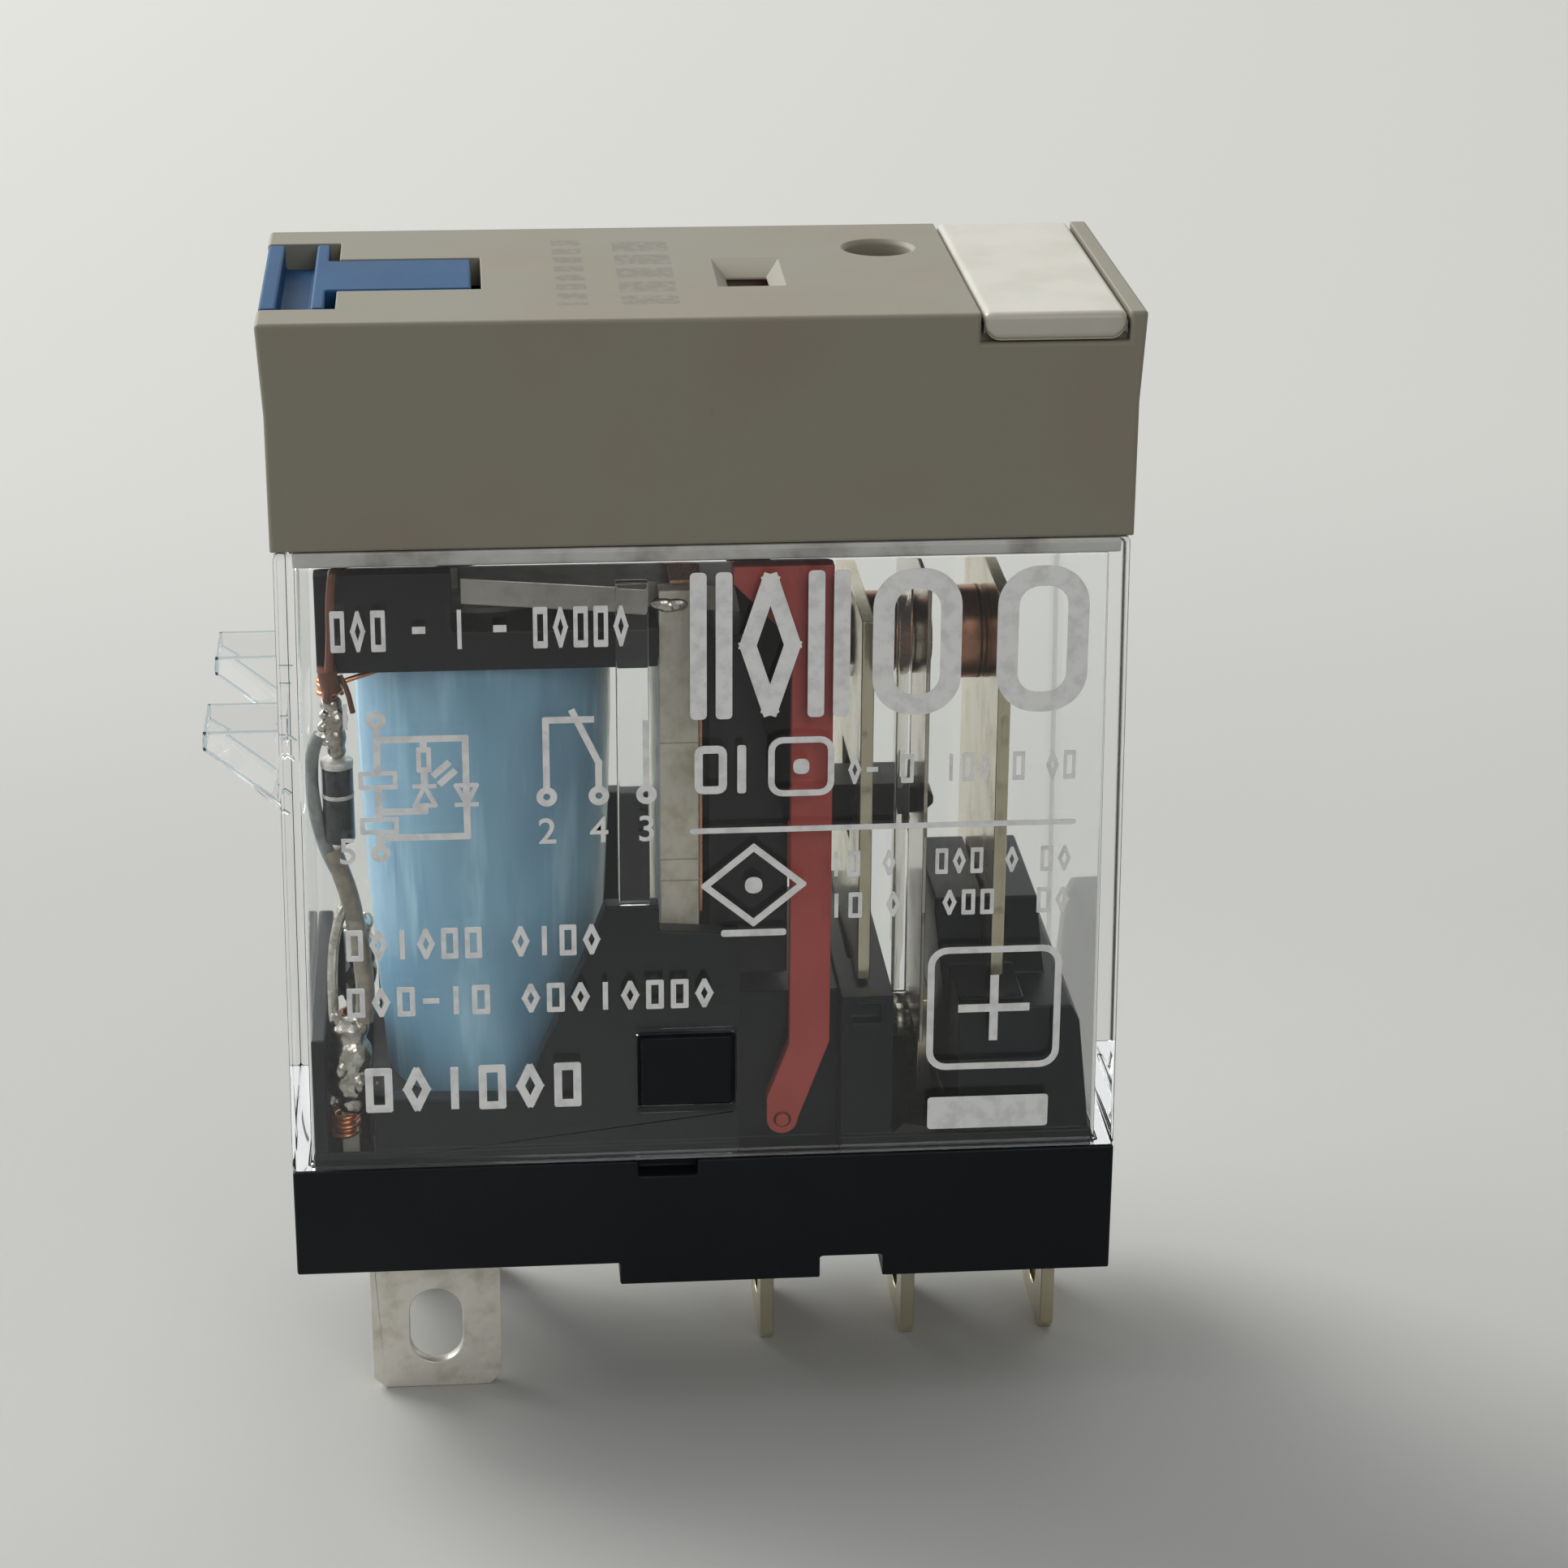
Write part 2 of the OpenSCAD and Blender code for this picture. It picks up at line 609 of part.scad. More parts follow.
// Profile of the wound coil at height share t, from bottom to top
function coil_out(t) = coil_low_r + (coil_r - coil_low_r) * sin(90 * t);
module coil_shell(inner, outer)
    translate([coil_x, 0, coil_bottom]) rotate_extrude() polygon(concat(
        [for (t = [0:0.2:1]) [outer + coil_out(t), t * (coil_top - coil_bottom)]],
        inner == 0
            ? [[bobbin_bore + bobbin_wall + small, coil_top - coil_bottom],
                [bobbin_bore + bobbin_wall + small, 0]]
            : [for (t = [1:-0.2:-0.01]) [inner + coil_out(t), t * (coil_top - coil_bottom)]]
    ));
module coil_winding() color("#b5743f") coil_shell(0, -tape_t - small);
module coil_tape() color("#7fb4d0") coil_shell(-tape_t, 0);
module core() {
    color("#9a9a96") translate([coil_x, 0, 0]) {
        translate([0, 0, foot_z]) cylinder(h = pole_z - foot_z, r = core_r);
        translate([0, 0, pole_z - 0.7]) cylinder(h = 0.7, r = pole_r);
    }
}
module yoke() {
    color("#a9a595") difference() {
        union() {
            span([yoke_left, -yoke_w / 2, foot_z], [yoke_right, yoke_w / 2, hinge_z - 0.5]);
            // Knife edge that the armature rocks on
            slab([[yoke_left, hinge_z - 0.51], [yoke_left, knife_z - 0.02], [hinge_x, knife_z],
                [yoke_right, knife_z - 0.15], [yoke_right, hinge_z - 0.51]], -yoke_w / 2, yoke_w / 2);
            both_sides() span([yoke_left, -yoke_w / 2, hinge_z - 0.6],
                [yoke_right, -neck_w / 2 - ear_gap, ear_z]);
            span([coil_x - 4.3, -foot_w / 2, foot_z], [yoke_left + small, foot_w / 2, plug_z - small]);
        }
        translate([coil_x, 0, 0]) cylinder(h = 12, r = core_r + small);
    }
}
module hinge_spring() {
    leaf = 0.12;
    x0 = yoke_right + 0.02;
    top = hinge_z + armature_t + 0.32;
    color("#a5673f") {
        span([x0, -4.4, 13.6], [x0 + leaf, 4.4, 20.5]);
        both_sides() span([x0, -4.4, 20.4], [x0 + leaf, -neck_w / 2 - 0.12, top]);
        span([hinge_x - 0.3, -4.4, top - leaf], [x0 + leaf, 4.4, top]);
    }
}
module armature() {
    lift = tan(gap_angle);
    // Underside of the open armature at a place along X
    function under(x) = hinge_z + (hinge_x - x) * lift;
    wide = 4.45;
    tongue = ear_in - 0.3;
    knee = limb_x + armature_t;
    function limb(x0, x1) = [[x0, under(x0)], [x1, under(x1)],
        [x1, under(x1) + armature_t], [x0, under(x0) + armature_t]];
    color("#8f8d86") {
        slab(limb(bobbin_l + 1, ear_x + 0.3), -tongue, tongue);
        slab(limb(ear_x + 0.28, yoke_left - 0.35), -wide, wide);
        slab(limb(yoke_left - 0.36, knee), -neck_w / 2, neck_w / 2);
        span([limb_x, -limb_w / 2, limb_low], [knee, limb_w / 2, under(knee) + small]);
    }
}
module card() {
    tip_x = spring_x + spring_t / 2 + 0.72;
    mid = nose_z + nose_h / 2;
    color("#1b1e21") difference() {
        union() {
            span([card_l, -card_w / 2, card_low], [card_r, card_w / 2, card_top]);
            // Arm with a gusset, then the thin tip that passes through the spring
            slab([[card_r - small, 13.6], [4.6, nose_z], [shoulder_x, nose_z],
                [shoulder_x, nose_z + nose_h], [4.9, nose_z + nose_h], [card_r - small, 18.6]],
                -nose_w / 2, nose_w / 2);
            slab([[shoulder_x - small, mid - tip_h / 2], [tip_x - 0.35, mid - tip_h / 2],
                [tip_x, mid - 0.15], [tip_x, mid + 0.15], [tip_x - 0.35, mid + tip_h / 2],
                [shoulder_x - small, mid + tip_h / 2]], -tip_w / 2, tip_w / 2);
            // Lug and peg that carry the red lever along
            span([card_r - small, -card_w / 2, peg_z - 0.6], [peg_x + 0.45, -3.6, peg_z + 0.6]);
            rod_y(peg_x, peg_z, lever_back + 0.15, -card_w / 2 + small, peg_r);
        }
        // Pocket that holds the armature's lower limb
        span([limb_x - small, -limb_w / 2 - small, limb_low - small],
            [limb_x + armature_t + small, limb_w / 2 + small, 30]);
        // Room for the hinge spring and the knee at the top
        span([card_l - 1, -neck_w / 2 - 0.1, 22.9], [limb_x + armature_t + 0.1, neck_w / 2 + 0.1, 30]);
    }
}

// ---- Contacts ----

module contact_head(x, t, r, way) {
    dome = 0.18;
    translate([x, 0, contact_z]) rotate([0, way * 90, 0]) {
        cylinder(h = t - dome, r = r);
        translate([0, 0, t - dome - small]) cylinder(h = dome, r1 = r, r2 = r - 0.3);
    }
}
module no_contact() {
    color("#a8663c") {
        contact_head(no_plate_x, no_head_t, contact_r, -1);
        rod_x(0, contact_z, no_plate_x - small, no_plate_x + plate_t + small, shank_r);
        rod_x(0, contact_z, no_plate_x + plate_t, no_plate_x + plate_t + 0.28, 1.1);
    }
}
module nc_contact() {
    color("#a8663c") {
        contact_head(nc_plate_x + plate_t, nc_head_t, contact_r - 0.15, 1);
        rod_x(0, contact_z, nc_plate_x - small, nc_plate_x + plate_t + small, shank_r);
        rod_x(0, contact_z, nc_plate_x - 0.28, nc_plate_x, 1.1);
    }
}
module moving_contact() {
    color("#b9b3a4") {
        for (way = [-1, 1])
            contact_head(spring_x + way * spring_t / 2, head_l, contact_r - 0.2, way);
        rod_x(0, contact_z, spring_x - spring_t, spring_x + spring_t, shank_r);
    }
}
module moving_spring() {
    x0 = spring_x - spring_t / 2;
    mid = nose_z + nose_h / 2;
    color("#a35f35") difference() {
        union() {
            span([x0, -2.1, spring_foot_z - 1.3], [x0 + spring_t, 2.1, 25.4]);
            span([x0, -leaf_w / 2, spring_foot_z + 0.9], [x0 + spring_t, leaf_w / 2, 25.4]);
        }
        rod_x(0, contact_z, x0 - 1, x0 + 1, shank_r + small);
        span([x0 - 1, -tip_w / 2 - 0.2, mid - tip_h / 2 - 0.25],
            [x0 + 1, tip_w / 2 + 0.2, mid + tip_h / 2 + 0.95]);
        for (side = [-1, 1])
            rod_x(side * rivet_rise, spring_foot_z, x0 - 1, x0 + 1, rivet_r + 0.12);
    }
}
module spring_rivets() {
    color("#9c9274") for (side = [-1, 1]) {
        rod_x(side * rivet_rise, spring_foot_z, spring_x - spring_t / 2 - 0.1,
            com_plate_x + blade_t + small, rivet_r);
        rod_x(side * rivet_rise, spring_foot_z, spring_x - spring_t / 2 - 0.4,
            spring_x - spring_t / 2 - 0.1, rivet_r + 0.25);
        rod_x(side * rivet_rise, spring_foot_z, com_plate_x + blade_t,
            com_plate_x + blade_t + 0.2, rivet_r + 0.2);
    }
}

// ---- Red lever ----

module indicator_lever() {
    foot_r = 0.55;
    fork_gap = peg_r + 0.12;
    color("#b8423c") {
        difference() {
            union() {
                slab([
                    [lever_pin_x - foot_r, lever_pin_z], [lever_pin_x + foot_r, lever_pin_z],
                    [stem_x + stem_w, knee_z], [stem_x + stem_w, shelf_z + shelf_t],
                    [stem_x - 2, shelf_z + shelf_t], [stem_x - 2, shelf_z], [stem_x, head_z],
                    [stem_x, knee_z], [lever_pin_x - foot_r, lever_pin_z + 0.9]
                ], lever_front, lever_back);
                rod_y(lever_pin_x, lever_pin_z, lever_front, lever_back, foot_r);
            }
            rod_y(lever_pin_x, lever_pin_z, lever_front - 1, lever_back + 1, lever_pin_r + pin_gap);
        }
        // Shelf, riser and flag
        span([stem_x - 1.9, lever_front, shelf_z], [stem_x + stem_w, arm_y + 0.5, shelf_z + shelf_t]);
        span([stem_x - 1.9, arm_y, shelf_z + small], [stem_x - 0.4, arm_y + 0.5, flag_z + small]);
        span([stem_x - 3.9, -1.6, flag_z], [stem_x + 0.1, 0.9, flag_z + flag_t]);
        // Fork that the card's peg runs in
        for (side = [-1, 1])
            span([peg_x + side * (fork_gap + 0.12) - 0.12, lever_back - small, peg_z - 0.8],
                [peg_x + side * (fork_gap + 0.12) + 0.12, lever_back + 0.5, peg_z + 1.3]);
    }
}

// ---- Wiring and lamp ----

module coil_pins()
    color("silver") both_sides() translate([pin_x, -pin_y, pin_low])
        cylinder(h = flange_z - 0.1 - pin_low, r = coil_pin_r);
module coil_leads() {
    // Bare ends from the winding to the pins, and round the foot of the posts
    top = coil_top - 0.6;
    start = (coil_r + 0.56) * [-0.741, -0.672];
    color("#a8552c") both_sides() {
        wire(curve([[coil_x + start[0], start[1], top], [-11.9, -3.7, top + 0.1],
            [-12.5, -4.45, top], [-13.05, -4.3, top - 0.15], [-13, -3.6, top - 0.25],
            [-12.4, -3.5, top - 0.3]]), 0.07, 8);
        wire(curve([[-11.4, -3.3, plug_z + 1.8], [-11.8, -4.2, plug_z + 1.2],
            [-12.3, -4.75, plug_z + 0.5], [-12.75, -4.8, plug_z + 0.2],
            [-13.05, -4.4, plug_z + 0.05]]), 0.07, 8);
    }
}
diode_route = [[-12.75, -4.45, 20.2], [-13, -4.5, 19.6], [-12.95, -4.5, 18.9]];
diode_tail = [[-12.45, -4.5, 15.9], [-12.2, -4.5, 15], [-11.95, -4.55, 13.6],
    [-11.75, -4.6, post_top + 2.4], [-11.8, -4.65, post_top + 1.1], [-12.1, -4.8, post_top + 0.3]];
module diode() {
    top = diode_route[len(diode_route) - 1];
    low = diode_tail[0];
    run = top - low;
    lean = atan2(run[0], run[2]);
    color("#8a8a84") {
        wire(curve(diode_route), lead_r);
        wire(curve(diode_tail), lead_r);
    }
    color("#22272b") translate(low) rotate([0, lean, 0]) translate([0, 0, 0.05])
        cylinder(h = norm(run) - 0.1, r = 0.62);
}
module solder_joints() {
    color("#b9b7ab") {
        both_sides() difference() {
            translate([pin_x, -pin_y, 21]) rotate_extrude()
                polygon([[0, -0.95], [0.35, -0.85], [0.62, -0.3], [0.6, 0.3], [0.34, 0.9], [0, 0.95]]);
            translate([pin_x, -pin_y, 0]) cylinder(h = 30, r = coil_pin_r + small);
            span([pin_x - 1, -pin_y - 1, 19], [pin_x + 1, -pin_y - 0.2, 20.6]);
        }
        both_sides() difference() {
            translate([post_x, -coil_row / 2, post_top - 1.3]) rotate_extrude()
                polygon([[0, -1.8], [0.42, -1.6], [0.62, -0.7], [0.56, 0.6], [solder_r, 1.1],
                    [0, 1.75]]);
            span([post_x - post_w / 2 - small, -coil_row / 2 - blade_t / 2 - small, 0],
                [post_x + post_w / 2 + small, -coil_row / 2 + blade_t / 2 + small, post_top + small]);
        }
    }
}
module lamp_board()
    color("#2f5d43") difference() {
        span([board_l, -board_w / 2, board_z], [board_r, board_w / 2, board_z + board_t]);
        for (side = [-1, 1])
            translate([resistor_x, side * 2.6, board_z - 1]) cylinder(h = 3, r = lead_r + small);
    }
module lamp() {
    z0 = board_z + board_t;
    dome_z = body_h - cover_wall - 0.15 - lamp_r;
    nose_r = lamp_hole_r - 0.15;
    nose_top = body_h - 0.42;
    color("#5d6a5c") translate([lamp_x, lamp_y, 0]) {
        translate([0, 0, z0]) cylinder(h = flange_h, r = lamp_r + 0.2);
        translate([0, 0, z0]) cylinder(h = dome_z - z0, r = lamp_r);
        translate([0, 0, dome_z]) intersection() {
            sphere(r = lamp_r);
            translate([0, 0, -small]) cylinder(h = lamp_r + 1, r = lamp_r + 1);
        }
        // Nose of the lens, up in the hole of the cover
        translate([0, 0, dome_z]) cylinder(h = nose_top - nose_r - dome_z, r = nose_r);
        translate([0, 0, nose_top - nose_r]) sphere(r = nose_r);
    }
}
module resistor() {
    z = board_z + board_t + resistor_r + 0.1;
    color("#c9b27c") rod_y(resistor_x, z, -resistor_l / 2, resistor_l / 2, resistor_r);
    color("silver") for (side = [-1, 1]) {
        rod_y(resistor_x, z, min(side * 1.78, side * 2.8), max(side * 1.78, side * 2.8), lead_r);
        translate([resistor_x, side * 2.6, board_z - 0.15])
            cylinder(h = z - board_z + 0.15, r = lead_r);
    }
}
module lamp_wires() {
    // Pair of wires from the board, over the roof and down to the coil pins
    z = roof_z + wire_r + 0.25;
    left = -step_l + case_wall + 0.4;
    color("#8b4a2b") both_sides() wire(curve([
        [board_l - 0.02, -wire_y, z], [0, -wire_y, z], [-6, -wire_y, z],
        [left + 0.8, -wire_y, z], [left + 0.1, -wire_y, roof_z - 0.6],
        [left, -wire_y - 0.1, cover_low - 0.1],
        [-12.25, -step_w + case_wall + wire_r, cover_low - case_wall - 0.15],
        [-12.35, -5.25, cover_low - case_wall - 0.5],
        [-12.45, -5.32, 25.6], [-12.5, -5.3, 24.2],
        [-12.6, -5.25, 22.9], [-12.7, -4.85, 21.9]
    ], 3), wire_r, 8);
}

base();
clear_case();
top_cover();
nameplate();
test_lever();
bobbin();
coil_winding();
coil_tape();
core();
yoke();
hinge_spring();
armature();
card();
moving_spring();
moving_contact();
spring_rivets();
nc_contact();
no_contact();
nc_terminal();
no_terminal();
com_terminal();
coil_terminal_front();
coil_terminal_rear();
coil_pins();
coil_leads();
solder_joints();
diode();
resistor();
lamp();
lamp_board();
lamp_wires();
indicator_lever();
lever_pin();
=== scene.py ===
"""Looks of a plug-in changeover relay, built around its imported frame.

X runs along the length, -Y is the printed front face and +Z is up. Sizes in the classes
are millimetres and are turned into metres where a mesh is made.
"""

import logging
import math
from dataclasses import dataclass, field
from enum import Enum
from typing import Any, Callable, Iterable, Sequence

import bpy
from mathutils import Euler, Matrix, Vector


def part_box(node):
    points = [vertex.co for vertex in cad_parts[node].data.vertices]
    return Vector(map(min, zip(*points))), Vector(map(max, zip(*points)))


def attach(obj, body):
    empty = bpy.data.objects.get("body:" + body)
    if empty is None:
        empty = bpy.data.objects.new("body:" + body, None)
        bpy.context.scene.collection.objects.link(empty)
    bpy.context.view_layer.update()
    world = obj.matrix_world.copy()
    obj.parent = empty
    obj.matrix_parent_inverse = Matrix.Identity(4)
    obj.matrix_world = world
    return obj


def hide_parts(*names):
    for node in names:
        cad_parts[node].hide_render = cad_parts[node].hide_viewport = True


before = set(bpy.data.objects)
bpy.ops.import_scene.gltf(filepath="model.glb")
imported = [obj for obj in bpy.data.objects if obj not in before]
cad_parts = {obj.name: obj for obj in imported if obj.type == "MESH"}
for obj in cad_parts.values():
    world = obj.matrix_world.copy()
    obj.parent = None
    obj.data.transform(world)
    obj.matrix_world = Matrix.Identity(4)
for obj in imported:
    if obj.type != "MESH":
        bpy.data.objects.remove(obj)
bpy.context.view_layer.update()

MM = 0.001
SHARP = math.radians(32)
WELD = 0.002
FRAME_BODY = "frame"
log = logging.getLogger("relay")

Colour = tuple[float, float, float]
Point = tuple[float, float, float]
Span = tuple[float, float, float, float]
Test = Callable[[Vector, Vector], bool]


class Side(Enum):
    """Which long side of the relay a piece sits on."""

    FRONT = -1
    REAR = 1


class Axis(Enum):
    """Direction a round piece points in."""

    X = (0.0, math.pi / 2, 0.0)
    Y = (-math.pi / 2, 0.0, 0.0)
    Z = (0.0, 0.0, 0.0)


# ---------------------------------------------------------------------------
# Shader maths
# ---------------------------------------------------------------------------


class Socket:
    """An output socket that takes part in Python arithmetic."""

    def __init__(self, recipe: "Recipe", socket: bpy.types.NodeSocket) -> None:
        """Keeps the socket and the recipe that owns it."""
        self.recipe = recipe
        self.socket = socket

    def _maths(self, operation: str, *values: Any) -> "Socket":
        """Adds one Math node.

        Args:
            operation: The node's operation.
            values: Its inputs, numbers or sockets.

        Returns:
            The node's result.
        """
        inputs = dict(enumerate(values))
        return self.recipe.node("ShaderNodeMath", {"operation": operation}, inputs)

    def __add__(self, other: Any) -> "Socket":
        """Sum."""
        return self._maths("ADD", self, other)

    def __radd__(self, other: Any) -> "Socket":
        """Sum with a number in front."""
        return self._maths("ADD", other, self)

    def __sub__(self, other: Any) -> "Socket":
        """Difference."""
        return self._maths("SUBTRACT", self, other)

    def __rsub__(self, other: Any) -> "Socket":
        """Difference from a number."""
        return self._maths("SUBTRACT", other, self)

    def __mul__(self, other: Any) -> "Socket":
        """Product."""
        return self._maths("MULTIPLY", self, other)

    def __truediv__(self, other: Any) -> "Socket":
        """Quotient."""
        return self._maths("DIVIDE", self, other)

    def __gt__(self, other: Any) -> "Socket":
        """One where this is the greater."""
        return self._maths("GREATER_THAN", self, other)

    def __lt__(self, other: Any) -> "Socket":
        """One where this is the lesser."""
        return self._maths("LESS_THAN", self, other)

    def ramp(self, low: float, high: float) -> "Socket":
        """Nought at low, one at high and smooth between.

        Args:
            low: Value that gives nought.
            high: Value that gives one.

        Returns:
            The ramped value.
        """
        settings = {"interpolation_type": "SMOOTHSTEP"}
        inputs = {"Value": self, "From Min": low, "From Max": high}
        return self.recipe.node("ShaderNodeMapRange", settings, inputs)


class Recipe:
    """Builds one material, or the surroundings, from nodes."""

    def __init__(self, name: str, world: bool = False) -> None:
        """Makes an empty node tree.

        Args:
            name: The name of its owner.
            world: True for the surroundings, False for a material.
        """
        self.owner = (bpy.data.worlds if world else bpy.data.materials).new(name)
        self.end = "ShaderNodeOutputWorld" if world else "ShaderNodeOutputMaterial"
        self.owner.use_nodes = True
        self.tree = self.owner.node_tree
        self.tree.nodes.clear()
        self._place: Socket | None = None

    def node(
        self,
        kind: str,
        settings: dict[str, Any] | None = None,
        inputs: dict[Any, Any] | None = None,
        output: Any = 0,
    ) -> Socket:
        """Adds any node.

        Args:
            kind: The node's type.
            settings: Its own settings, set first.
            inputs: Values or sockets by input name or number.
            output: Name or number of the output that is handed back.

        Returns:
            The chosen output.
        """
        made = self.tree.nodes.new(kind)
        for key, value in (settings or {}).items():
            setattr(made, key, value)
        for key, value in (inputs or {}).items():
            target = made.inputs[key]
            if isinstance(value, Socket):
                self.tree.links.new(value.socket, target)
            elif isinstance(value, tuple) and len(value) == 3 and target.type == "RGBA":
                target.default_value = (*value, 1.0)
            else:
                target.default_value = value
        return Socket(self, made.outputs[output])

    def place(self) -> Socket:
        """Object coordinates in millimetres."""
        if self._place is None:
            spot = self.node("ShaderNodeTexCoord", output="Object")
            scale = (1 / MM, 1 / MM, 1 / MM)
            self._place = self.node("ShaderNodeMapping", None, {"Vector": spot, "Scale": scale})
        return self._place

    def along(self, axis: str) -> Socket:
        """One coordinate in millimetres, named X, Y or Z."""
        return self.node("ShaderNodeSeparateXYZ", None, {0: self.place()}, axis)

    def noise(
        self, size: float, detail: float = 2.0, rough: float = 0.5, stretch: Point = (1, 1, 1)
    ) -> Socket:
        """Soft noise.

        Args:
            size: Size of its blotches in millimetres.
            detail: How many finer layers it has.
            rough: How strong the finer layers are.
            stretch: How much longer the blotches are along each axis.

        Returns:
            A value from nought to one.
        """
        scale = tuple(1 / s for s in stretch)
        spot = self.node("ShaderNodeMapping", None, {"Vector": self.place(), "Scale": scale})
        inputs = {"Vector": spot, "Scale": 1 / size, "Detail": detail, "Roughness": rough}
        return self.node("ShaderNodeTexNoise", None, inputs, "Fac")

    def cells(self, size: float) -> Socket:
        """Cell pattern with cells of a size in millimetres."""
        inputs = {"Vector": self.place(), "Scale": 1 / size}
        return self.node("ShaderNodeTexVoronoi", None, inputs, "Distance")

    def blend(self, share: Any, first: Any, second: Any) -> Socket:
        """Mixes two colours.

        Args:
            share: How much of the second colour shows.
            first: Colour at nought.
            second: Colour at one.

        Returns:
            The mixed colour.
        """
        settings = {"data_type": "RGBA"}
        return self.node("ShaderNodeMix", settings, {0: share, 6: first, 7: second}, 2)

    def bump(
        self, height: Any, depth: float, strength: float = 1.0, below: Socket | None = None
    ) -> Socket:
        """Turns a height into a normal.

        Args:
            height: The height, nought to one.
            depth: Depth of the relief in millimetres.
            strength: How strongly it shows.
            below: Normal of a coarser relief under it.

        Returns:
            The normal.
        """
        inputs = {"Height": height, "Distance": depth * MM, "Strength": strength}
        if below is not None:
            inputs["Normal"] = below
        return self.node("ShaderNodeBump", None, inputs)

    def principled(self, **values: Any) -> Socket:
        """Principled shader; names use underscores for spaces."""
        inputs = {key.replace("_", " "): value for key, value in values.items()}
        return self.node("ShaderNodeBsdfPrincipled", None, inputs)

    def close(self, shader: Socket) -> Any:
        """Joins a shader to the output and hands the owner back."""
        end = self.tree.nodes.new(self.end)
        self.tree.links.new(shader.socket, end.inputs["Surface"])
        return self.owner


# ---------------------------------------------------------------------------
# Finishes
# ---------------------------------------------------------------------------


@dataclass(frozen=True)
class Plastic:
    """Moulded plastic with a fine spark-eroded grain."""

    name: str
    colour: Colour
    shade: Colour
    roughness: float = 0.45
    grain: float = 0.12
    grain_depth: float = 0.01
    blotch: float = 6.0
    glow: float = 0.0
    shine: float = 0.5

    def material(self) -> bpy.types.Material:
        """Builds the material."""
        recipe = Recipe(self.name)
        blotches = recipe.noise(self.blotch, 3.0, 0.55).ramp(0.35, 0.7)
        base = recipe.blend(blotches, self.colour, self.shade)
        fine = recipe.noise(self.grain, 2.0, 0.6)
        rough = self.roughness + (recipe.noise(2.5, 3.0) - 0.5) * 0.16
        normal = recipe.bump(fine, self.grain_depth, 0.6)
        return recipe.close(
            recipe.principled(
                Base_Color=base,
                Roughness=rough,
                Normal=normal,
                Subsurface_Weight=self.glow,
                Subsurface_Scale=0.4 * MM,
                Specular_IOR_Level=self.shine,
            )
        )


@dataclass(frozen=True)
class Metal:
    """Rolled or plated metal with a brushed grain, tarnish and pits."""

    name: str
    colour: Colour
    tarnish: Colour
    roughness: float = 0.3
    brush: Point = (1.0, 1.0, 12.0)
    brush_size: float = 0.08
    brush_depth: float = 0.006
    tarnish_size: float = 1.6
    tarnish_share: float = 0.6
    pits: float = 0.0
    metallic: float = 0.8

    def material(self) -> bpy.types.Material:
        """Builds the material."""
        recipe = Recipe(self.name)
        stain = recipe.noise(self.tarnish_size, 4.0, 0.6).ramp(0.42, 0.72) * self.tarnish_share
        base = recipe.blend(stain, self.colour, self.tarnish)
        brushed = recipe.noise(self.brush_size, 2.0, 0.6, self.brush)
        rough = self.roughness + (brushed - 0.5) * 0.22 + stain * 0.18
        normal = recipe.bump(brushed, self.brush_depth, 0.7)
        if self.pits:
            dents = recipe.cells(self.pits).ramp(0.0, 0.5)
            normal = recipe.bump(dents, 0.03, 0.5, normal)
        return recipe.close(
            recipe.principled(Base_Color=base, Metallic=self.metallic, Roughness=rough, Normal=normal)
        )


@dataclass(frozen=True)
class ClearPlastic:
    """Clear case plastic: sharp, faintly rippled, and it lets lamp light through."""

    name: str
    tint: Colour = (0.985, 0.993, 0.99)
    index: float = 1.43
    ripple: float = 0.0012

    def material(self) -> bpy.types.Material:
        """Builds the material."""
        recipe = Recipe(self.name)
        ripples = recipe.noise(2.2, 1.0, 0.4)
        normal = recipe.bump(ripples, self.ripple, 0.2)
        glass = recipe.principled(
            Base_Color=self.tint,
            Roughness=0.03,
            IOR=self.index,
            Transmission_Weight=1.0,
            Normal=normal,
        )
        clear = recipe.node("ShaderNodeBsdfTransparent", None, {"Color": self.tint})
        shadow = recipe.node("ShaderNodeLightPath", output="Is Shadow Ray")
        return recipe.close(recipe.node("ShaderNodeMixShader", None, {0: shadow, 1: glass, 2: clear}))


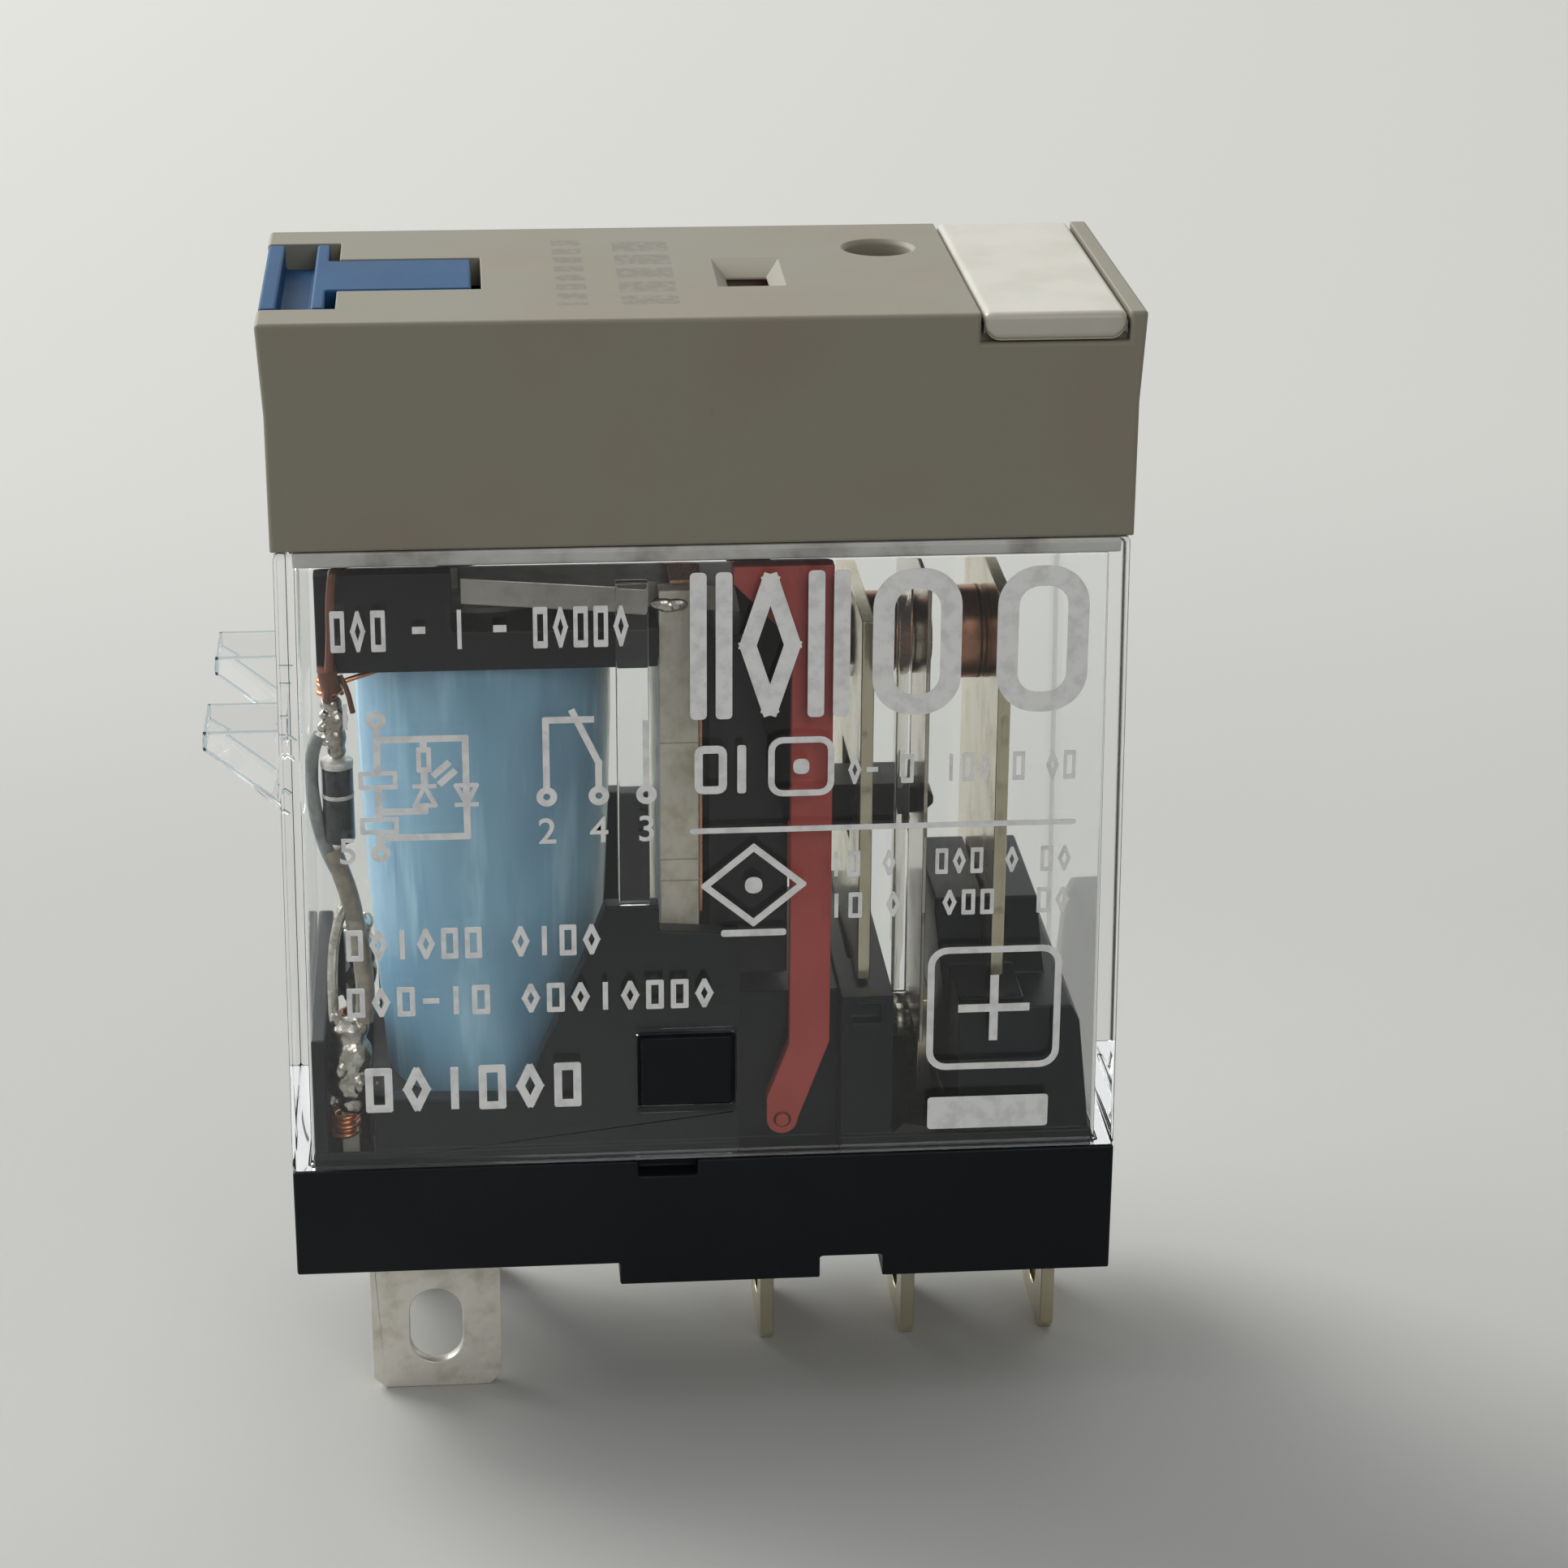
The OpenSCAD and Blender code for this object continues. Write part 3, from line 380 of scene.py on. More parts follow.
@dataclass(frozen=True)
class CoverPlastic:
    """Warm grey cover plastic with a worn faint marking on its top, and its top painted a little darker
    as painted shade.
    """

    name: str
    colour: Colour = (0.27, 0.262, 0.207)
    shade: Colour = (0.273, 0.244, 0.192)
    mark: Colour = (0.165, 0.157, 0.135)
    # Colour of the painted shade laid over the whole top.
    painted_top_shade: Colour = (0.06, 0.05, 0.03)
    top: float = 35.28
    rows: tuple[tuple[float, float, float, float], ...] = ()

    def material(self) -> bpy.types.Material:
        """Builds the material."""
        recipe = Recipe(self.name)
        blotches = recipe.noise(7.0, 3.0, 0.5).ramp(0.35, 0.68)
        base = recipe.blend(blotches, self.colour, self.shade)
        along, across = recipe.along("X"), recipe.along("Y")
        ink: Any = 0.0
        for x0, x1, pitch, share in self.rows:
            band = (along > x0) * (along < x1) * (across > -4.6) * (across < 4.6)
            step = recipe.node("ShaderNodeMath", {"operation": "FRACT"}, {0: (across + 20.0) / pitch})
            ink = band * (step < share) + ink
        worn = recipe.noise(0.35, 3.0, 0.7).ramp(0.35, 0.55)
        ink = ink * worn * (recipe.along("Z") > self.top) * 0.62
        base = recipe.blend(ink, base, self.mark)
        # Painted shade: the whole top is darkened a little.
        base = recipe.blend((recipe.along("Z") > self.top) * 0.12, base, self.painted_top_shade)
        speck = recipe.noise(0.5, 2.0, 0.5).ramp(0.72, 0.8) * 0.25
        base = recipe.blend(speck, base, self.mark)
        fine = recipe.noise(0.1, 2.0, 0.6)
        rough = 0.52 + (recipe.noise(3.0, 3.0) - 0.5) * 0.14
        return recipe.close(
            recipe.principled(
                Base_Color=base,
                Roughness=rough,
                Normal=recipe.bump(fine, 0.009, 0.55),
                Specular_IOR_Level=0.28,
            )
        )


@dataclass(frozen=True)
class Tape:
    """Blue polyester coil tape with vertical creases and a gloss coat; the crease ridges are painted
    lighter as painted highlight and the troughs darker as painted shade.
    """

    name: str
    colour: Colour = (0.25, 0.46, 0.62)
    # Darker tone of random patches, and painted shade in the crease troughs.
    deep_and_crease_shade: Colour = (0.17, 0.34, 0.48)
    # Painted highlight colour on the crease ridges.
    light: Colour = (0.42, 0.66, 0.8)

    def material(self) -> bpy.types.Material:
        """Builds the material."""
        recipe = Recipe(self.name)
        creases = recipe.noise(1.1, 3.0, 0.55, (1.0, 1.0, 9.0))
        patches = recipe.noise(4.0, 2.0, 0.5, (1.0, 1.0, 2.5))
        base = recipe.blend(patches.ramp(0.35, 0.65), self.colour, self.deep_and_crease_shade)
        # Painted highlight: the crease ridges are lighter.
        base = recipe.blend(creases.ramp(0.52, 0.72) * 0.75, base, self.light)
        # Painted shade: the crease troughs are darker.
        base = recipe.blend((0.0 - creases).ramp(-0.44, -0.3) * 0.6, base, self.deep_and_crease_shade)
        normal = recipe.bump(creases, 0.12, 0.5)
        normal = recipe.bump(recipe.noise(0.3, 2.0), 0.006, 0.3, normal)
        rough = 0.24 + patches * 0.2
        return recipe.close(
            recipe.principled(
                Base_Color=base, Roughness=rough, Normal=normal, Coat_Weight=0.5, Coat_Roughness=0.12
            )
        )


@dataclass(frozen=True)
class Glossy:
    """Glazed or lacquered material, such as a diode body or solder flux."""

    name: str
    colour: Colour
    shade: Colour
    roughness: float = 0.12
    metallic: float = 0.0
    lumps: float = 0.5
    lump_depth: float = 0.03
    coat: float = 0.4

    def material(self) -> bpy.types.Material:
        """Builds the material."""
        recipe = Recipe(self.name)
        lumps = recipe.noise(self.lumps, 3.0, 0.6)
        base = recipe.blend(lumps.ramp(0.35, 0.7), self.colour, self.shade)
        rough = self.roughness + recipe.noise(0.25, 2.0) * 0.14
        normal = recipe.bump(lumps, self.lump_depth, 0.6)
        return recipe.close(
            recipe.principled(
                Base_Color=base,
                Metallic=self.metallic,
                Roughness=rough,
                Normal=normal,
                Coat_Weight=self.coat,
                Coat_Roughness=0.08,
            )
        )


@dataclass(frozen=True)
class Paper:
    """Pale matt sheet that the relay stands on, with painted shadow at the front right, painted light
    far behind and faint painted wrinkle shade.
    """

    name: str
    colour: Colour = (0.485, 0.487, 0.468)
    shade: Colour = (0.445, 0.447, 0.435)
    # Painted shadow colour, and the span over which it darkens the sheet towards the front right.
    painted_shadow: Colour = (0.24, 0.24, 0.235)
    # Painted light: a lighter colour for the far part of the sheet.
    far: Colour = (0.54, 0.54, 0.52)
    painted_shadow_from: float = 10.0
    painted_shadow_to: float = 67.0
    slant: float = 0.42

    def material(self) -> bpy.types.Material:
        """Builds the material."""
        recipe = Recipe(self.name)
        # Painted shade: soft wide blotches a little darker, standing for shade in soft wrinkles of the
        # paper.
        cloud = recipe.noise(90.0, 2.0, 0.5).ramp(0.3, 0.7)
        base = recipe.blend(cloud, self.colour, self.shade)
        # Painted shadow: the sheet darkens towards the front right, where the relay's long soft shadow
        # falls.
        near = (recipe.along("X") * self.slant - recipe.along("Y")).ramp(self.painted_shadow_from, self.painted_shadow_to)
        base = recipe.blend(near, base, self.painted_shadow)
        # Painted light: the sheet is painted lighter far behind the relay.
        base = recipe.blend(recipe.along("Y").ramp(30.0, 120.0), base, self.far)
        fibre = recipe.noise(0.5, 3.0, 0.6)
        return recipe.close(
            recipe.principled(Base_Color=base, Roughness=0.85, Normal=recipe.bump(fibre, 0.02, 0.3))
        )


@dataclass(frozen=True)
class Ink:
    """Pale ink printed on the case, thinner and worn in spots."""

    name: str
    colour: Colour = (0.9, 0.905, 0.9)
    thin: Colour = (0.74, 0.75, 0.75)

    def material(self) -> bpy.types.Material:
        """Builds the material."""
        recipe = Recipe(self.name)
        wear = recipe.noise(0.6, 3.0, 0.6).ramp(0.4, 0.7)
        base = recipe.blend(wear, self.colour, self.thin)
        normal = recipe.bump(recipe.noise(0.12, 2.0), 0.006, 0.5)
        return recipe.close(
            recipe.principled(Base_Color=base, Roughness=0.6, Normal=normal, Specular_IOR_Level=0.3)
        )


FINISHES: tuple[Any, ...] = (
    Plastic(
        "base_black", (0.0032, 0.0052, 0.0078), (0.0052, 0.0072, 0.0102),
        0.42, 0.25, 0.0012, shine=0.22
    ),
    ClearPlastic("case_clear"),
    ClearPlastic("rim_clear", (0.8, 0.87, 0.89), 1.4, 0.0005),
    # Pale opaque strip, a painted highlight of the case's shiny clear shoulder, with darker blotches.
    Metal(
        "ledge_clear", (0.62, 0.62, 0.6), (0.2, 0.19, 0.17),
        0.3, (14, 1, 1), 0.2, 0.01, 3.0, 0.9, metallic=0.0
    ),
    ClearPlastic("clip_clear", (0.965, 0.972, 0.97), 1.03, 0.0008),
    CoverPlastic("cover_grey", rows=((-4.7, -3.7, 1.25, 0.62), (-2.6, -0.7, 1.9, 0.72))),
    Plastic("plate_white", (0.56, 0.545, 0.475), (0.5, 0.48, 0.41), 0.34, 0.4, 0.014, 3.0, 0.15),
    Plastic(
        "lever_blue", (0.01, 0.074, 0.185), (0.008, 0.064, 0.162), 0.5, 0.12, 0.008, 4.0, 0.05, 0.2
    ),
    Plastic(
        "bobbin_black", (0.0085, 0.0095, 0.0105), (0.0115, 0.0125, 0.014), 0.5, shine=0.3
    ),
    Plastic(
        "card_black", (0.0085, 0.0092, 0.0105), (0.0115, 0.0125, 0.014), 0.45, shine=0.3
    ),
    Plastic(
        "lever_red", (0.46, 0.085, 0.07), (0.4, 0.068, 0.056), 0.5, 0.12, 0.01, 5.0, 0.05, 0.3
    ),
    Tape("tape_blue"),
    Metal("winding_copper", (0.72, 0.3, 0.13), (0.3, 0.1, 0.04), 0.25, (12, 12, 1)),
    Metal("copper_wire", (0.8, 0.33, 0.17), (0.32, 0.1, 0.04), 0.2, (1, 1, 1), 0.1),
    Metal("core_iron", (0.5, 0.49, 0.46), (0.25, 0.23, 0.2), 0.35),
    Metal(
        "yoke_steel", (0.7, 0.67, 0.57), (0.46, 0.4, 0.29), 0.42, (1, 1, 3.5), 0.3, 0.07, 1.2, 0.75,
        0.35, 0.35
    ),
    Metal("armature_steel", (0.55, 0.53, 0.48), (0.3, 0.27, 0.22), 0.38, (6, 1, 1), 0.12),
    Metal("spring_copper", (0.78, 0.42, 0.26), (0.42, 0.2, 0.12), 0.26),
    Metal(
        "spring_plated", (0.62, 0.58, 0.49), (0.45, 0.39, 0.28),
        0.15, (4, 1, 1), 0.12, 0.004, 2.4, 0.5,
        metallic=1.0
    ),
    Metal("contact_silver", (0.8, 0.76, 0.66), (0.4, 0.33, 0.22), 0.25, (1, 1, 1), 0.2),
    Metal("contact_copper", (0.66, 0.33, 0.22), (0.24, 0.1, 0.05), 0.3, (8, 1, 1), 0.1),
    Metal("contact_rim", (0.06, 0.045, 0.035), (0.1, 0.07, 0.05), 0.35),
    Metal(
        "blade_tin", (0.8, 0.78, 0.7), (0.55, 0.5, 0.4), 0.36, (1, 1, 10), 0.1, 0.008, 1.1, 0.7,
        0.5, 0.5
    ),
    Metal(
        "blade_brass", (0.74, 0.68, 0.5), (0.5, 0.43, 0.27), 0.18, (1, 1, 8), 0.12, 0.005, 2.0, 0.5,
        metallic=0.95
    ),
    Glossy("solder", (0.66, 0.64, 0.58), (0.36, 0.32, 0.26), 0.16, 1.0, 0.55, 0.09, 0.0),
    Glossy("sleeve_grey", (0.27, 0.24, 0.19), (0.15, 0.13, 0.1), 0.3, 0.2, 0.8, 0.05, 0.3),
    Glossy("diode_body", (0.012, 0.014, 0.016), (0.03, 0.035, 0.038), 0.1),
    Glossy("resistor_body", (0.5, 0.36, 0.2), (0.4, 0.27, 0.14), 0.3),
    Glossy("lamp_lens", (0.014, 0.034, 0.026), (0.03, 0.06, 0.046), 0.14),
    Glossy("diode_mark", (0.62, 0.62, 0.58), (0.4, 0.4, 0.37), 0.25, 0.3),
    Glossy("sleeve_glass", (0.22, 0.24, 0.24), (0.12, 0.13, 0.125), 0.1, 0.0, 0.9, 0.05, 0.6),
    Glossy("board_green", (0.03, 0.1, 0.05), (0.045, 0.13, 0.07), 0.35),
    Plastic("wire_sheath", (0.14, 0.05, 0.03), (0.1, 0.035, 0.02), 0.35),
    Ink("ink_pale"),
    Paper("paper"),
)


class Finishes:
    """Every finish of the relay, each made once when first asked for."""

    RECIPES: dict[str, Any] = {finish.name: finish for finish in FINISHES}

    def __init__(self) -> None:
        """Starts with nothing made."""
        self._made: dict[str, bpy.types.Material] = {}

    def get(self, name: str) -> bpy.types.Material:
        """Hands back a finish's material.

        Args:
            name: The finish's name.

        Returns:
            The material, made on the first call.
        """
        if name not in self._made:
            self._made[name] = self.RECIPES[name].material()
        return self._made[name]


# ---------------------------------------------------------------------------
# Bench: modelling operations shared by the sub-assemblies
# ---------------------------------------------------------------------------


class Bench:
    """Modelling by operators, each starting with nothing selected."""

    def __init__(self, finishes: Finishes) -> None:
        """Keeps the finishes that pieces are dressed with."""
        self.finishes = finishes

    def alone(self, piece: bpy.types.Object) -> None:
        """Selects one object and makes it active."""
        self.clear()
        bpy.context.view_layer.objects.active = piece
        piece.select_set(True)

    def leave(self) -> None:
        """Goes back from edit mode to object mode."""
        bpy.ops.object.mode_set(mode="OBJECT")

    def clear(self) -> None:
        """Leaves nothing selected."""
        if bpy.context.object and bpy.context.object.mode != "OBJECT":
            self.leave()
        bpy.ops.object.select_all(action="DESELECT")

    def settle(self, piece: bpy.types.Object, name: str) -> bpy.types.Object:
        """Names a piece and moves its place into its mesh.

        Args:
            piece: The object.
            name: Its new name.

        Returns:
            The same object, at the origin.
        """
        self.alone(piece)
        bpy.ops.object.transform_apply(location=True, rotation=True, scale=True)
        piece.name = name
        piece.data.name = name
        return piece

    def box(self, name: str, low: Point, high: Point) -> bpy.types.Object:
        """A box from its lowest to its highest corner in millimetres."""
        self.clear()
        middle = [(a + b) / 2 * MM for a, b in zip(low, high)]
        size = [(b - a) * MM for a, b in zip(low, high)]
        bpy.ops.mesh.primitive_cube_add(size=1, location=middle, scale=size)
        return self.settle(bpy.context.object, name)

    def rod(
        self, name: str, middle: Point, axis: Axis, radius: float, length: float, sides: int = 32
    ) -> bpy.types.Object:
        """A cylinder about its middle, in millimetres.

        Args:
            name: The piece's name.
            middle: Its centre.
            axis: The way it points.
            radius: Its radius.
            length: Its length.
            sides: How many sides it has.

        Returns:
            The cylinder.
        """
        self.clear()
        bpy.ops.mesh.primitive_cylinder_add(
            vertices=sides,
            radius=radius * MM,
            depth=length * MM,
            location=[v * MM for v in middle],
            rotation=axis.value,
        )
        return self.settle(bpy.context.object, name)

    def ball(self, name: str, middle: Point, size: Point, fine: int = 3) -> bpy.types.Object:
        """A stretched ball of small triangles.

        Args:
            name: The piece's name.
            middle: Its centre in millimetres.
            size: Its half sizes in millimetres.
            fine: How often its faces are split.

        Returns:
            The ball.
        """
        self.clear()
        bpy.ops.mesh.primitive_ico_sphere_add(
            subdivisions=fine, radius=1, location=[v * MM for v in middle], scale=[v * MM for v in size]
        )
        return self.settle(bpy.context.object, name)

    def pick(self, piece: bpy.types.Object, test: Test, kind: str = "FACE") -> None:
        """Selects faces, edges or points in code, and stays in edit mode.

        Args:
            piece: The object.
            test: Says whether an element at a place in millimetres with a normal is picked.
            kind: FACE, EDGE or VERT.
        """
        self.alone(piece)
        bpy.ops.object.mode_set(mode="EDIT")
        bpy.ops.mesh.select_mode(type=kind)
        bpy.ops.mesh.select_all(action="DESELECT")
        self.leave()
        mesh = piece.data
        if kind == "FACE":
            for face in mesh.polygons:
                face.select = test(face.center / MM, face.normal)
        elif kind == "VERT":
            for point in mesh.vertices:
                point.select = test(point.co / MM, point.normal)
        else:
            for edge in mesh.edges:
                a, b = (mesh.vertices[i].co / MM for i in edge.vertices)
                edge.select = test((a + b) / 2, (b - a).normalized())
        bpy.ops.object.mode_set(mode="EDIT")

    def modify(self, piece: bpy.types.Object, kind: str, **settings: Any) -> None:
        """Adds a modifier and applies it.

        Args:
            piece: The object.
            kind: The modifier's type.
            settings: Its settings.
        """
        self.alone(piece)
        modifier = piece.modifiers.new(kind.title(), kind)
        for key, value in settings.items():
            setattr(modifier, key, value)
        bpy.ops.object.modifier_apply(modifier=modifier.name)

    def round_off(self, piece: bpy.types.Object, width: float, segments: int = 2) -> None:
        """Rounds every sharp edge.

        Args:
            piece: The object.
            width: Width of the rounding in millimetres.
            segments: How many strips it has.
        """
        self.modify(
            piece,
            "BEVEL",
            width=width * MM,
            segments=segments,
            limit_method="ANGLE",
            angle_limit=SHARP,
            use_clamp_overlap=False,
            miter_outer="MITER_ARC",
        )

    def smooth(self, piece: bpy.types.Object, angle: float = 40) -> None:
        """Shades smooth, but for edges sharper than an angle in degrees, and keeps flats flat."""
        self.alone(piece)
        bpy.ops.object.shade_smooth_by_angle(angle=math.radians(angle))
        self.modify(piece, "WEIGHTED_NORMAL", weight=100, keep_sharp=True)

    def cut(self, piece: bpy.types.Object, tool: bpy.types.Object) -> None:
        """Cuts a tool out of a piece and throws the tool away."""
        self.modify(piece, "BOOLEAN", operation="DIFFERENCE", object=tool, solver="EXACT")
        bpy.data.objects.remove(tool)

    def join(self, name: str, parts: Sequence[bpy.types.Object]) -> bpy.types.Object:
        """Joins several meshes into one piece."""
        self.alone(parts[0])
        for part in parts:
            part.select_set(True)
        bpy.ops.object.join()
        joined = bpy.context.object
        joined.name = name
        joined.data.name = name
        return joined

    def outward(self, piece: bpy.types.Object) -> None:
        """Merges doubles and turns the faces outwards."""
        self.alone(piece)
        bpy.ops.object.mode_set(mode="EDIT")
        bpy.ops.mesh.select_all(action="SELECT")
        bpy.ops.mesh.remove_doubles(threshold=WELD * MM)
        bpy.ops.mesh.normals_make_consistent(inside=False)
        self.leave()

    def dress(self, piece: bpy.types.Object, finish: str) -> None:
        """Gives a whole piece one finish."""
        piece.data.materials.clear()
        piece.data.materials.append(self.finishes.get(finish))

    def mount(
        self,
        piece: bpy.types.Object,
        finish: str,
        slot: str,
        body: str = FRAME_BODY,
        node: str | None = None,
    ) -> bpy.types.Object:
        """Dresses a piece and ties it to the frame.

        Args:
            piece: The object.
            finish: Its finish.
            slot: The record's material slot; not used.
            body: The body that it rides on.
            node: The CAD node that it stands for.

        Returns:
            The piece.
        """
        if finish:
            self.dress(piece, finish)
        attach(piece, body)
        if node:
            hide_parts(node)
        log.info("%s on %s, %d faces", piece.name, body, len(piece.data.polygons))
        return piece

    def copy_of(self, node: str) -> bpy.types.Object:
        """A merged copy of a CAD node's mesh, its flat faces whole again."""
        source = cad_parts[node]
        piece = bpy.data.objects.new(f"{node}_skin", source.data.copy())
        bpy.context.scene.collection.objects.link(piece)
        self.alone(piece)
        bpy.ops.object.mode_set(mode="EDIT")
        bpy.ops.mesh.select_mode(type="VERT")
        bpy.ops.mesh.select_all(action="SELECT")
        bpy.ops.mesh.remove_doubles(threshold=WELD * MM)
        bpy.ops.mesh.dissolve_limited(angle_limit=math.radians(1.0))
        self.leave()
        return piece

    def soften(
        self,
        node: str,
        finish: str,
        width: float = 0.06,
        segments: int = 2,
        body: str = FRAME_BODY,
        slot: str = "",
    ) -> bpy.types.Object:
        """Stands a copy with rounded edges in a CAD node's place.

        Args:
            node: The CAD node.
            finish: Its finish.
            width: Width of the rounding in millimetres.
            segments: How many strips the rounding has.
            body: The body that it rides on.
            slot: The record's material slot, where it isn't named as the finish.

        Returns:
            The rounded piece.
        """
        piece = self.copy_of(node)
        self.round_off(piece, width, segments)
        self.smooth(piece)
        return self.mount(piece, finish, slot or finish, body, node)

    def repaint(self, node: str, finish: str) -> None:
        """Gives a CAD node that keeps its own mesh a better finish."""
        self.dress(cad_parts[node], finish)
        log.info("%s keeps its mesh", node)

    def cable(
        self, name: str, points: Sequence[Point], radius: float, sides: int = 3
    ) -> bpy.types.Object:
        """A round wire through points, made a mesh.

        Args:
            name: The piece's name.
            points: Places in millimetres.
            radius: Its radius in millimetres.
            sides: Resolution of its roundness.

        Returns:
            The wire as a mesh with closed ends.
        """
        self.clear()
        curve = bpy.data.curves.new(name, "CURVE")
        curve.dimensions = "3D"
        curve.bevel_depth = radius * MM
        curve.bevel_resolution = sides
        curve.use_fill_caps = True
        curve.resolution_u = 6
        spline = curve.splines.new("BEZIER")
        spline.bezier_points.add(len(points) - 1)
        for knot, place in zip(spline.bezier_points, points):
            knot.co = Vector(place) * MM
            knot.handle_left_type = knot.handle_right_type = "AUTO"
        piece = bpy.data.objects.new(name, curve)
        bpy.context.scene.collection.objects.link(piece)
        self.alone(piece)
        bpy.ops.object.convert(target="MESH")
        piece = bpy.context.object
        self.outward(piece)
        self.smooth(piece, 50)
        return piece


# ---------------------------------------------------------------------------
# Sub-assemblies
# ---------------------------------------------------------------------------


@dataclass
class Base:
    """Black plug-in base with its blades."""

    bench: Bench
    edge: float = 0.09

    def build(self) -> None:
        """Builds the base and its blades."""
        bench = self.bench
        bench.soften("base", "base_black", self.edge)
        bench.soften("lever_pin", "lever_red", 0.04)
        for node in ("coil_terminal_front", "coil_terminal_rear"):
            bench.soften(node, "blade_tin", 0.05)
        for node in ("nc_terminal", "com_terminal", "no_terminal"):
            bench.soften(node, "blade_brass", 0.05)


@dataclass
class ClearCase:
    """Clear case with its ribs, clips and printed marks."""

    bench: Bench
    edge: float = 0.16
    front: float = -6.5
    clip_x: float = -14.7
    sill_y: float = 5.75
    sill_z: float = 12.0
    wall_y: float = 6.45
    rib_y: tuple[float, float] = (-5.89, -5.45)
    rib_spans: tuple[Span, ...] = ((-3.0, -1.9, 14.5, 26.2), (6.5, 7.0, 10.9, 26.2))
    ledge_x: tuple[float, float] = (-13.6, 13.9)
    ledge_y: tuple[float, float] = (5.95, 6.44)
    ledge_z: tuple[float, float] = (27.06, 27.56)
    rim: float = 0.06
    rim_y: tuple[float, float] = (-5.12, -2.42)
    rim_corners: tuple[tuple[float, float], ...] = (
        (-14.1, 20.88), (-16.84, 20.88), (-16.86, 20.3), (-14.1, 18.06)
    )
    ink_depth: float = 0.015
    inset: float = 0.02

    def build(self) -> None:
        """Builds the case, the ribs inside it and the print on it."""
        self.shell()
        self.ribs()
        self.ledges()
        self.clip_rims()
        self.print_marks()

    def shell(self) -> None:
        """Copies the case, rounds it and draws its front in for the print."""
        bench = self.bench
        piece = bench.copy_of("clear_case")
        for side in Side:
            bench.pick(piece, lambda p, n: p.y * side.value > self.wall_y and abs(n.y) > 0.1, "VERT")
            shift = (0, -side.value * self.inset * MM, 0)
            bpy.ops.transform.translate(value=shift)
            bench.leave()
        bench.round_off(piece, self.edge, 3)
        bench.smooth(piece)
        bench.mount(piece, "case_clear", "case_clear", FRAME_BODY, "clear_case")
        piece.data.materials.append(bench.finishes.get("clip_clear"))
        bench.pick(piece, self.faint)
        bpy.context.object.active_material_index = 1
        bpy.ops.object.material_slot_assign()
        bench.leave()

    def faint(self, place: Vector, normal: Vector) -> bool:
        """True for the prongs' faces and the sills of the latch windows, which bend light least."""
        sill = normal.z > 0.5 and abs(place.y) > self.sill_y and place.z < self.sill_z
        return place.x < self.clip_x or sill

    def ribs(self) -> None:
        """Clear guide ribs on the inside of the front wall."""
        bench = self.bench
        for number, (x0, x1, z0, z1) in enumerate(self.rib_spans, 1):
            rib = bench.box(f"case_rib_{number}", (x0, self.rib_y[0], z0), (x1, self.rib_y[1], z1))
            bench.round_off(rib, 0.08, 2)
            bench.smooth(rib)
            bench.mount(rib, "case_clear", "case_clear")

    def ledges(self) -> None:
        """Pale opaque strips within the case's thick shoulder, front and rear, a painted highlight of
        its shiny clear step.
        """
        bench = self.bench
        for side in Side:
            near, far = sorted(y * side.value for y in self.ledge_y)
            low, high = zip(self.ledge_x, (near, far), self.ledge_z)
            strip = bench.box(f"case_ledge_{side.name.lower()}", low, high)
            bench.round_off(strip, 0.06, 2)
            bench.mount(strip, "ledge_clear", "case_clear")

    def clip_rims(self) -> None:
        """Rounded rims along the edges of the release prongs."""
        bench = self.bench
        for side in Side:
            near, far = (y * side.value for y in self.rim_y)
            ends = [
                ((xa, y, za), (xb, y, zb))
                for y in (near, far)
                for (xa, za), (xb, zb) in zip(self.rim_corners, self.rim_corners[1:])
            ]
            ends += [((x, near, z), (x, far, z)) for x, z in self.rim_corners[1:3]]
            rims = [bench.cable("rim", pair, self.rim, 2) for pair in ends]
            piece = bench.join(f"clip_rim_{side.name.lower()}", rims)
            bench.mount(piece, "rim_clear", "case_clear")

    def print_marks(self) -> None:
        """Pale marks printed on the front: plain bars, blocks and circuit symbols."""
        PrintedFront(self.bench, self.front, self.ink_depth).build()


class Sign(Enum):
    """Plain signs that stand where lettering would: none of them is a letter."""

    b = ((0, 0, 1, 0), (1, 0, 1, 1), (1, 1, 0, 1), (0, 1, 0, 0))
    d = ((0, 0.5, 0.5, 1), (0.5, 1, 1, 0.5), (1, 0.5, 0.5, 0), (0.5, 0, 0, 0.5))
    t = ((0.5, 0, 0.5, 1),)
    c = ((0.05, 0.5, 0.95, 0.5), (0.5, 0.22, 0.5, 0.78))
    m = ((0, 0.5, 1, 0.5),)


